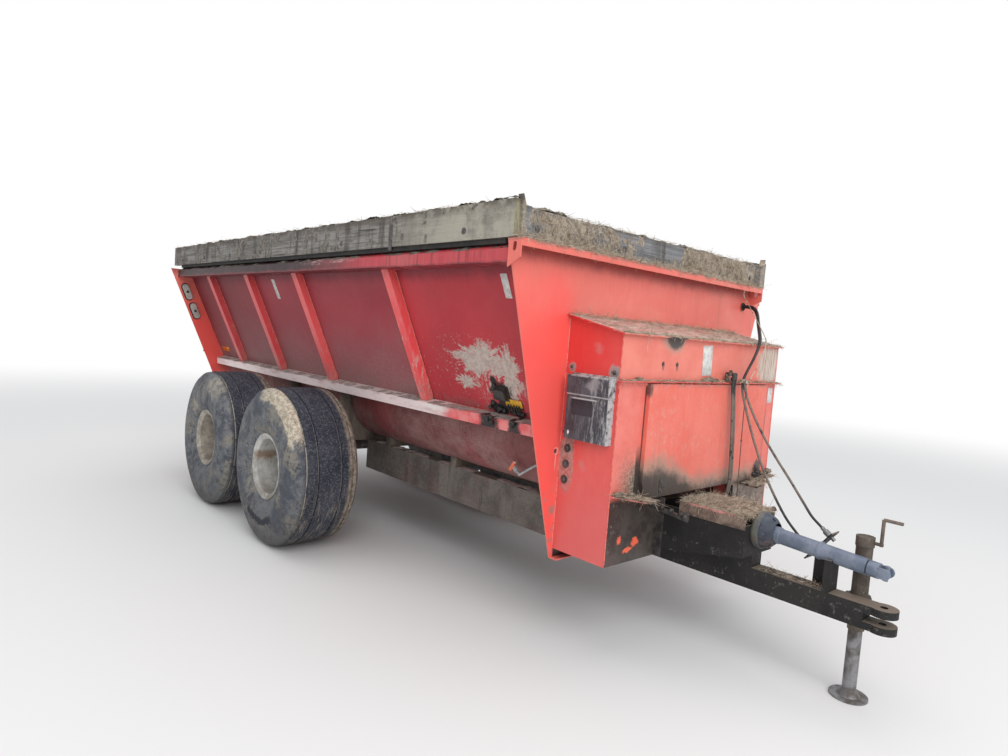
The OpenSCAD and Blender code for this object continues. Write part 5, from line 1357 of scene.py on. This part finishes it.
def make_tongue_dirt():
    rng = np.random.default_rng(12)
    dirt, straws = Shape(), Shape()
    place, u, v = at(0.359, -0.153, 0.7762), vec(0.373, 0, 0), vec(0, 0.306, 0)
    dirt.crust(place, u, v, (0, 0, 1), height=0.016, cover=0.74, step=0.0055, scale=13, edge=0.006,
               thin=lambda a, b: 0.5 * (b < 0.06))
    straws.strew(rng, 1500, place, u, v, (0, 0, 1), length=(0.02, 0.1), lift=0.016)
    straws.strew(rng, 260, place, u, vec(0, 0.012, 0), (0, 0, 1), length=(0.02, 0.07), lift=0.008, hang=0.4)
    straws.strew(rng, 160, place + u * 0.97, vec(0.008, 0, 0), v, (0, 0, 1), length=(0.02, 0.07), lift=0.008,
          hang=0.5)
    # On the nose behind the clevis
    place, u, v = at(0.765, -0.046, 0.506), vec(0.3, 0, 0), vec(0, 0.092, 0)
    dirt.crust(place, u, v, (0, 0, 1), height=0.01, cover=0.55, step=0.006, scale=14, edge=0.008, kind=1)
    straws.strew(rng, 90, place, u, v, (0, 0, 1), length=(0.02, 0.06), lift=0.006)
    dirt.clod(at(0.728, 0.148, 0.783), (0.016, 0.02, 0.012), 5, 1)
    dirt.made("tongue_dirt", [BOARD_DIRT, DARK_DIRT], slot="twine_fibre")
    straws.made("tongue_straw", [STRANDS], slot="twine_fibre")


def make_board_dirt():
    rng = np.random.default_rng(13)
    dirt, straws = Shape(), Shape()

    def heap(b):
        """How much dirt lies at a share of the board's length, from its right end: little in the middle."""
        bare = math.exp(-((b - 0.5) / 0.085) ** 2)
        hump = math.exp(-((b - 0.74) / 0.13) ** 2)
        return 0.55 * hump - 0.55 * bare + 0.1 * math.exp(-((b - 0.18) / 0.16) ** 2)

    # The flange in front of the wall, and the board above it
    place, u, v = at(0.001, -1.19, 2.0302), vec(0.083, 0, 0), vec(0, 2.23, 0)
    dirt.crust(place, u, v, (0, 0, 1), height=0.034, cover=0.56, step=0.009, scale=6, edge=0.004,
               thin=lambda a, b: 0.9 * a * a - 0.25 * (1 - a) - 0.8 * heap(b))
    straws.strew(rng, 1500, place, u, v, (0, 0, 1), length=(0.03, 0.11), lift=0.022, hang=0.08)
    straws.strew(rng, 240, place + vec(0.078, 0, 0), vec(0.006, 0, 0), v, (0.2, 0, 1), length=(0.02, 0.08),
          lift=0.01, hang=0.5)
    place, u, v = at(-0.0078, -1.155, 2.032), vec(0, 2.31, 0), vec(0, 0, 0.157)
    dirt.crust(place, u, v, (1, 0, 0), height=0.0095, cover=0.5, step=0.0075, scale=15, edge=0.0,
               thin=lambda a, b: 0.35 * b - 0.16 - 1.5 * heap(a))
    straws.strew(rng, 650, place, u * 0.34, vec(0, 0, 0.15), (1, 0, 0), length=(0.02, 0.07), lift=0.01,
                 hang=0.1)
    straws.strew(rng, 420, place, u, vec(0, 0, 0.05), (1, 0, 0), length=(0.02, 0.09), lift=0.012, hang=0.1)
    straws.strew(rng, 900, place + u * 0.6, u * 0.3, vec(0, 0, 0.155), (1, 0, 0), length=(0.02, 0.08),
                 lift=0.016, hang=0.15)
    for x, top in ((-0.027, 2.191), (-4.941, 2.191)):
        place = at(x - 0.018, -1.15, top)
        dirt.crust(place, vec(0.036, 0, 0), vec(0, 2.3, 0), (0, 0, 1), height=0.02, cover=0.62, step=0.009,
                   scale=7, edge=0.002, kind=1)
        straws.strew(rng, 420, place, vec(0.034, 0, 0), vec(0, 2.3, 0), (0, 0, 1), length=(0.03, 0.1),
              lift=0.012, hang=0.15)
    for side in SIDES:
        # The planks' top edges and outer faces
        place = at(-5.105, side * 1.194, 2.2132)
        dirt.crust(place, vec(5.115, 0, 0), vec(0, -side * 0.036, 0), (0, 0, 1), height=0.017, cover=0.58,
                   step=0.01, scale=6, edge=0.0, kind=1)
        straws.strew(rng, 500, place, vec(5.1, 0, 0), vec(0, -side * 0.034, 0), (0, 0, 1),
              length=(0.02, 0.08), lift=0.008, hang=0.1)
        place = at(-5.105, side * 1.1952, 2.042)
        dirt.crust(place, vec(5.115, 0, 0), vec(0, 0, 0.169), (0, side, 0), height=0.006, cover=0.36,
                   step=0.011, scale=9, edge=0.0, kind=1, thin=lambda a, b: 0.9 * max(0.0, a - 0.62))
        # The rails' sloping shoulders, under the rubber
        place = at(-4.95, side * 1.198, 1.9855)
        dirt.crust(place, vec(4.93, 0, 0), vec(0, -side * 0.048, 0.0265), (0, side * 0.5, 1), height=0.012,
                   cover=0.46, step=0.011, scale=7, edge=0.004, kind=2)
        # The lower rails' sloping tops
        length = 4.9 if side < 0 else 4.1
        place = at(-4.93, side * 0.722, 1.1402)
        dirt.crust(place, vec(length, 0, 0), vec(0, side * 0.074, -0.0169), (0, side * 0.2, 1), height=0.008,
                   cover=0.36, step=0.011, scale=8, edge=0.004, kind=3)
        straws.strew(rng, 90, place, vec(length, 0, 0), vec(0, side * 0.07, -0.015), (0, side * 0.2, 1),
              length=(0.02, 0.06), lift=0.006, kind=1)
        # The frame beams' tops
        place = at(-2.3, side * 0.397, 0.6692)
        dirt.crust(place, vec(2.27, 0, 0), vec(0, side * 0.076, 0), (0, 0, 1), height=0.014, cover=0.52,
                   step=0.01, scale=7, edge=0.004, kind=3)
    dirt.made("board_dirt", [BOARD_DIRT, GREY_DIRT, DARK_DIRT, PALE_DIRT], slot="twine_fibre")
    straws.made("board_straw", [STRANDS, DULL_STRANDS], slot="twine_fibre")


def make_inside_dirt():
    """Manure left inside the tank: on the sheets, the walls and the trough's middle ridge."""
    rng = np.random.default_rng(14)
    dirt, straws = Shape(), Shape()
    for side in SIDES:
        length = 4.92 if side < 0 else 4.1
        low, high = 1.1, 1.9
        y = [1.055 - 0.449 * (SHEET_TOP_Z - z) - 0.0075 for z in (low, high)]
        place = at(-4.95, side * y[0], low)
        v = Vector((0, side * (y[1] - y[0]), high - low))
        up = vec(0, -side, 0.449)
        dirt.crust(place, vec(length, 0, 0), v, up, height=0.014, cover=0.42, step=0.026, scale=4.5,
                   edge=0.02, thin=lambda a, b: 0.8 * b - 0.25)
        straws.strew(rng, 300, place, vec(length, 0, 0), v * 0.5, up, length=(0.03, 0.09), lift=0.008)
    for x, way in ((-0.0085, -1), (-4.9615, 1)):
        dirt.crust(at(x, -0.7, 1.12), vec(0, 1.4, 0), vec(0, 0, 0.62), (way, 0, 0), height=0.014,
                   cover=0.42, step=0.024, scale=5, edge=0.03, thin=lambda a, b: 0.7 * b - 0.2)
    dirt.made("tank_dirt", [DARK_DIRT], slot="twine_fibre")
    straws.made("tank_straw", [DULL_STRANDS], slot="twine_fibre")


# A carriage bolt's flat round head, as (radius, height) pairs
CARRIAGE_HEAD = [(0.017, 0), (0.016, 0.003), (0.01, 0.0062), (0.0, 0.0075)]


def make_bolts():
    bolts = Shape()
    # Upper front, sides and top of the housing
    for y in (-0.407, -0.283):
        bolts.bolt(at(HOUSING_FRONT, y, 1.5), (1, 0, 0), 0.007, start=y)
    for x, z in ((0.052, 1.038), (0.048, 0.957), (0.046, 0.877)):
        bolts.bolt(at(x, HOUSING_RIGHT, z), (0, -1, 0), 0.0145, start=z)
    bolts.bolt(at(0.02, HOUSING_RIGHT, 1.118), (0, -1, 0), 0.006)
    # Round washers over the document box
    for x, z, r in ((0.04, 1.452, 0.0145), (0.312, 1.447, 0.0215)):
        bolts.turned(at(x, HOUSING_RIGHT, z), (0, -1, 0), [(r, 0), (r, 0.0018), (r * 0.93, 0.0026),
                                                           (r * 0.5, 0.0026)], 22, 1)
        bolts.turned(at(x, -0.7474, z), (0, -1, 0), [(r * 0.52, 0), (r * 0.52, 0.004), (r * 0.36, 0.006),
                                                     (0.0, 0.0066)], 14, 0)
    # Flange bearings
    for x, y, z in ((-4.97, -0.31, 1.04), (-4.97, 0.31, 1.04), (-0.803, 0.715, 0.86)):
        for k in range(4):
            turn = math.pi * (0.25 + 0.5 * k)
            bolts.bolt(at(x - 0.032, y + 0.044 * math.cos(turn), z + 0.044 * math.sin(turn)),
                       (-1, 0, 0), 0.007)
    # Carriage bolts through the planks, and their washers
    for side in SIDES:
        for x in (-4.85, -4.2, -3.55, -2.9, -2.25, -1.6, -1.02, -0.35):
            bolts.turned(at(x, side * 1.195, 2.085), (0, side, 0), CARRIAGE_HEAD, 14)
    for y in (-1.02, -0.35, 0.35, 1.02):
        bolts.turned(at(-0.008, y, 2.1), (1, 0, 0), CARRIAGE_HEAD, 14)
    # Hood, chamber and rear stiffeners
    for x in (-0.74, -0.52, -0.27, -0.06):
        bolts.bolt(at(x, 1.1165, 1.262), (0, 0.98, -0.2), 0.008, 2, 2, x)
    for z in (1.35, 1.7):
        for y in (-0.72, -0.36, 0.0, 0.36, 0.72):
            bolts.bolt(at(-5.015, y, z), (-1, 0, 0), 0.009, 2, 2, y)
    # The walking beams' pivots, and the saddle
    for side in SIDES:
        bolts.turned(at(WHEELS_MIDDLE, side * 0.88, AXLE_HIGH), (0, side, 0),
                     [(0.03, 0), (0.03, 0.01), (0.02, 0.014), (0, 0.015)], 18, 0)
        for k in range(6):
            turn = 2 * math.pi * k / 6
            bolts.bolt(around(WHEELS_MIDDLE, side * 0.872, AXLE_HIGH, 0.064, turn), (0, side, 0), 0.008)
    bolts.made("bolts", [BOLT_DARK, BOLT_PALE, BOLT_RED], slot="worn_steel", sharp=35)


def make_wheel_nuts():
    for end, x in (("front", WHEELS_MIDDLE + AXLE_REACH), ("rear", WHEELS_MIDDLE - AXLE_REACH)):
        for name, side in (("right", -1), ("left", 1)):
            nuts = Shape()
            disc_y = side * (WHEEL_Y - 0.04)
            for k in range(8):
                turn = 2 * math.pi * (k + 0.3) / 8
                place = around(x, disc_y, AXLE_HIGH, 0.11, turn)
                nuts.bolt(place, (0, side, 0), 0.0125, start=k * 0.3)
                nuts.turned(place + vec(0, side * 0.01, 0), (0, side, 0),
                            [(0.006, 0), (0.006, 0.01), (0.0045, 0.012)], 10)
            # The valve, in the dish by the rim
            turn = 0.7
            foot = around(x, disc_y + side * 0.024, AXLE_HIGH, 0.178, turn)
            nuts.tube([foot, foot + vec(-0.006, side * 0.02, -0.006),
                       foot + vec(-0.012, side * 0.042, -0.01)], 0.0045, 8, 1)
            nuts.made(f"{end}_{name}_nuts", [BOLT_DARK, GROMMET], body=f"{end}_{name}_wheel",
                      slot="worn_steel", sharp=35)


def sheet_y(z):
    """How far the side sheets' outer faces are from the middle at a height."""
    return SHEET_TOP_Y - SHEET_SLOPE * (SHEET_TOP_Z - z)


def sheet_place(x, z, off=0.0008):
    """A place on the right side sheet."""
    return at(x, -sheet_y(z) - off, z)


SHEET_UP = vec(0, -SHEET_SLOPE, 1).normalized()


def make_labels():
    """Blank labels and plain reflectors."""
    thin = 0.0012
    white = Shape()
    white.plate(oblong(0.095, 0.165), thin, at(0.3452, 0.005, 1.53), (0, 1, 0.05), (0, -0.05, 1), 0.006)
    white.plate(oblong(0.08, 0.095), thin, at(0.3452, 0.752, 1.335), (0, 1, 0), (0, 0, 1), 0.008)
    ahead = vec(1, 0, 0)
    for x, z, wide, high in ((-2.993, 1.815, 0.055, 0.165), (-0.197, 1.83, 0.05, 0.13)):
        white.plate(oblong(wide, high), thin, sheet_place(x, z), ahead, SHEET_UP, 0.006)
    white.made("blank_labels", [LABEL_WHITE], slot="lamp_plastic")
    yellow = Shape()
    yellow.plate(oblong(0.135, 0.045), thin, sheet_place(-0.364, 1.213, 0.0078), ahead, SHEET_UP, 0.006)
    yellow.made("blank_yellow_label", [LABEL_YELLOW], slot="lamp_plastic")
    amber = Shape()
    for side in SIDES:
        place = sheet_place(-4.79, 1.222)
        place.y *= -side
        amber.plate(oblong(0.2, 0.05), 0.004, place, vec(-side, 0, 0), vec(0, side * SHEET_SLOPE, 1), 0.006)
    amber.made("side_reflectors", [AMBER], slot="lamp_plastic")
    red = Shape()
    for side in SIDES:
        red.plate(oblong(0.2, 0.05), 0.004, at(-4.9705, side * 0.82, 1.2), (0, -1, 0), (0, 0, 1), 0.006)
    red.made("rear_reflectors", [RED_LENS], slot="lamp_plastic")


def make_trim():
    """Latches, a grommet, lamp cable glands, a board bracket and a ring."""
    trim = Shape()
    for y, z in ((-0.363, 0.872), (0.632, 0.872)):
        place = at(0.3675, y, z)
        trim.plate(oblong(0.03, 0.075), 0.004, place, (0, 1, 0), (0, 0, 1), 0.008)
        trim.tube(spline([place + vec(0.004, -0.012, 0.024), place + vec(0.018, -0.01, 0.012),
                          place + vec(0.022, 0.0, -0.004), place + vec(0.018, 0.01, 0.01),
                          place + vec(0.004, 0.012, 0.022)], 4), 0.0035, 7, 0)
        trim.bolt(place + vec(0.004, 0, -0.022), (1, 0, 0), 0.007)
    # The hoses' grommet, and a small bracket that holds the right plank
    trim.turned(at(0.008, 0.946, 1.896), (1, 0, 0),
                [(0.028, 0), (0.028, 0.004), (0.024, 0.007), (0.02, 0.007), (0.019, 0.001)], 24, 1)
    trim.plate(oblong(0.03, 0.15), 0.004, at(-1.02, -1.1953, 2.09), (1, 0, 0), (0, 0, 1), 0.006)
    # Cable glands at the lamps' backs
    for side in SIDES:
        for z in (1.59, 1.778):
            y = side * (1.267 - 0.433 * (2.0 - z) - 0.062)
            base = at(-4.97 + 0.036, y, z)
            trim.turned(base, (1, 0, 0), [(0.013, 0), (0.012, 0.004), (0.008, 0.014), (0.0, 0.016)], 12, 1)
    # A ring on the right rail's rear end
    ring = [around(-4.93, -1.201, 1.945, 0.013, 2 * math.pi * k / 20) for k in range(21)]
    trim.tube(ring, 0.0028, 6)
    trim.made("trim", [BOLT_DARK, GROMMET], slot="worn_steel", sharp=40)


def make_grease():
    """Greasy lumps round the grease points, the latches and the rod in front of the housing."""
    lumps = Shape()
    rng = random.Random(5)
    for x, z, size in (
        (-0.5, 1.29, 0.024), (-0.478, 1.262, 0.026), (-0.505, 1.24, 0.02), (-0.545, 1.195, 0.02),
        (-0.52, 1.275, 0.018), (-0.495, 1.165, 0.026), (-0.46, 1.158, 0.018), (-0.58, 1.165, 0.016),
        (-0.34, 1.16, 0.016), (-0.31, 1.155, 0.014), (-0.375, 1.155, 0.014),
    ):
        place = sheet_place(x, z, 0.01)
        lumps.clod(place, (size * 0.8, size * 0.45, size * 0.75), rng.randint(0, 99), rough=0.55, level=3)
    for x, z, size in ((-0.53, 1.105, 0.017), (-0.49, 1.09, 0.014), (-0.5, 1.12, 0.016), (-0.31, 1.11, 0.014),
                       (-0.325, 1.09, 0.011)):
        lumps.clod(at(x, -0.797, z), (size * 0.8, size * 0.3, size * 0.9), rng.randint(0, 99),
                   rough=0.55, level=3)
    for x, y, z, size in (
        (0.58, -0.45, 0.78, 0.019), (0.56, -0.452, 0.786, 0.016), (0.545, -0.448, 0.776, 0.014),
        (0.5, -0.455, 0.79, 0.013), (0.45, -0.46, 0.795, 0.012), (0.405, -0.47, 0.8, 0.014),
        (0.372, 0.632, 0.868, 0.018), (0.37, 0.655, 0.85, 0.015), (0.372, 0.6, 0.858, 0.013),
    ):
        lumps.clod(at(x, y, z), (size, size * 1.1, size), rng.randint(0, 99))
    lumps.made("grease_lumps", [GREASE_LUMP], slot="black_rubber")


def weld(shape, start, end, r, seed):
    """A weld bead: a row of overlapping ripples."""
    start, end = Vector(start), Vector(end)
    count = max(3, int((end - start).length / 0.009))
    line = [start + (end - start) * (k / (count * 2)) for k in range(count * 2 + 1)]
    shape.tube(line, lambda share: r * (0.86 + 0.2 * abs(math.sin(share * count * math.pi))) *
               (1 + 0.12 * noise.noise(vec(share * count * 0.7, seed, 0))), 6)


def make_welds():
    welds = Shape()
    for back in RIB_BACKS:
        for side in SIDES:
            for x in (-back, -back - 0.075):
                foot, top = (at(x, side * sheet_y(z) + side * 0.001, z) for z in (1.165, 1.915))
                weld(welds, foot, top, 0.004, seed=back)
    # Round the housing where it meets the wall, and up its front corners
    for side in (HOUSING_RIGHT, HOUSING_LEFT):
        weld(welds, at(0.0, side, 0.52), at(0.0, side, 1.7), 0.004, seed=side)
    weld(welds, at(0.0, HOUSING_RIGHT, 1.72), at(0.0, HOUSING_LEFT, 1.72), 0.004, seed=4)
    for side, seed in ((HOUSING_RIGHT, 6), (HOUSING_LEFT, 7)):
        weld(welds, at(HOUSING_FRONT, side, 0.52), at(HOUSING_FRONT, side, 1.64), 0.003, seed=seed)
    for side in SIDES:
        weld(welds, at(-4.961, side * 0.45, 1.405), at(-4.961, side * 0.79, 1.405), 0.003, seed=8)
    welds.made("weld_beads", [WELD_PAINT], slot="red_paint")


make_housing_dirt()
make_tongue_dirt()
make_board_dirt()
make_inside_dirt()
make_bolts()
make_wheel_nuts()
make_labels()
make_trim()
make_grease()
make_welds()

# Floor, light and background


def make_floor():
    bm = bmesh.new()
    bmesh.ops.create_circle(bm, cap_ends=True, segments=96, radius=60)
    mesh = bpy.data.meshes.new("floor")
    bm.to_mesh(mesh)
    bm.free()
    floor = bpy.data.objects.new("floor", mesh)
    bpy.context.scene.collection.objects.link(floor)
    f = Finish("floor", rough=0.95)
    f.shader.inputs["Base Color"].default_value = 0.74, 0.74, 0.73, 1
    away = f.add("ShaderNodeVectorMath", f.where, operation="LENGTH").outputs["Value"]
    path = f.add("ShaderNodeLightPath").outputs
    white = f.add("ShaderNodeEmission", (1, 1, 1, 1), 1.0)
    reflected = f.calc("MAXIMUM", path["Is Glossy Ray"], path["Is Transmission Ray"])
    seen = f.calc("MAXIMUM", path["Is Camera Ray"], reflected)
    fade = f.span(away, 5.5, 16.0) * seen
    faded = f.add("ShaderNodeMixShader", fade, f.shader.outputs[0], white.outputs[0])
    f.tree.links.new(faded.outputs[0], f.tree.nodes["Material Output"].inputs["Surface"])
    mesh.materials.append(f.mat)


def area_light(name, place, aim, size, power):
    data = bpy.data.lights.new(name, "AREA")
    data.shape = "RECTANGLE"
    data.size, data.size_y = size
    data.energy = power
    obj = bpy.data.objects.new(name, data)
    bpy.context.scene.collection.objects.link(obj)
    obj.location = place
    obj.rotation_euler = (Vector(aim) - Vector(place)).to_track_quat("-Z", "Y").to_euler()


def make_light():
    world = bpy.data.worlds.new("world")
    bpy.context.scene.world = world
    world.use_nodes = True
    tree = world.node_tree
    sky = tree.nodes["Background"]
    sky.inputs["Color"].default_value = (0.95, 0.97, 1.0, 1)
    sky.inputs["Strength"].default_value = 0.7
    white = tree.nodes.new("ShaderNodeBackground")
    white.inputs["Color"].default_value = (1, 1, 1, 1)
    white.inputs["Strength"].default_value = 1.0
    path = tree.nodes.new("ShaderNodeLightPath")
    chosen = tree.nodes.new("ShaderNodeMixShader")
    seen = tree.nodes.new("ShaderNodeMath")
    seen.operation = "MAXIMUM"
    tree.links.new(path.outputs["Is Camera Ray"], seen.inputs[0])
    tree.links.new(path.outputs["Is Transmission Ray"], seen.inputs[1])
    tree.links.new(seen.outputs[0], chosen.inputs[0])
    tree.links.new(sky.outputs[0], chosen.inputs[1])
    tree.links.new(white.outputs[0], chosen.inputs[2])
    tree.links.new(chosen.outputs[0], tree.nodes["World Output"].inputs["Surface"])
    area_light("key", (10, -5.0, 8), (0.5, 0, 1), (9, 9), 880)
    area_light("top", (-1, 0, 11), (0, 0, 0), (12, 12), 500)


make_floor()
make_light()

scene = bpy.context.scene
scene.view_settings.view_transform = "Standard"
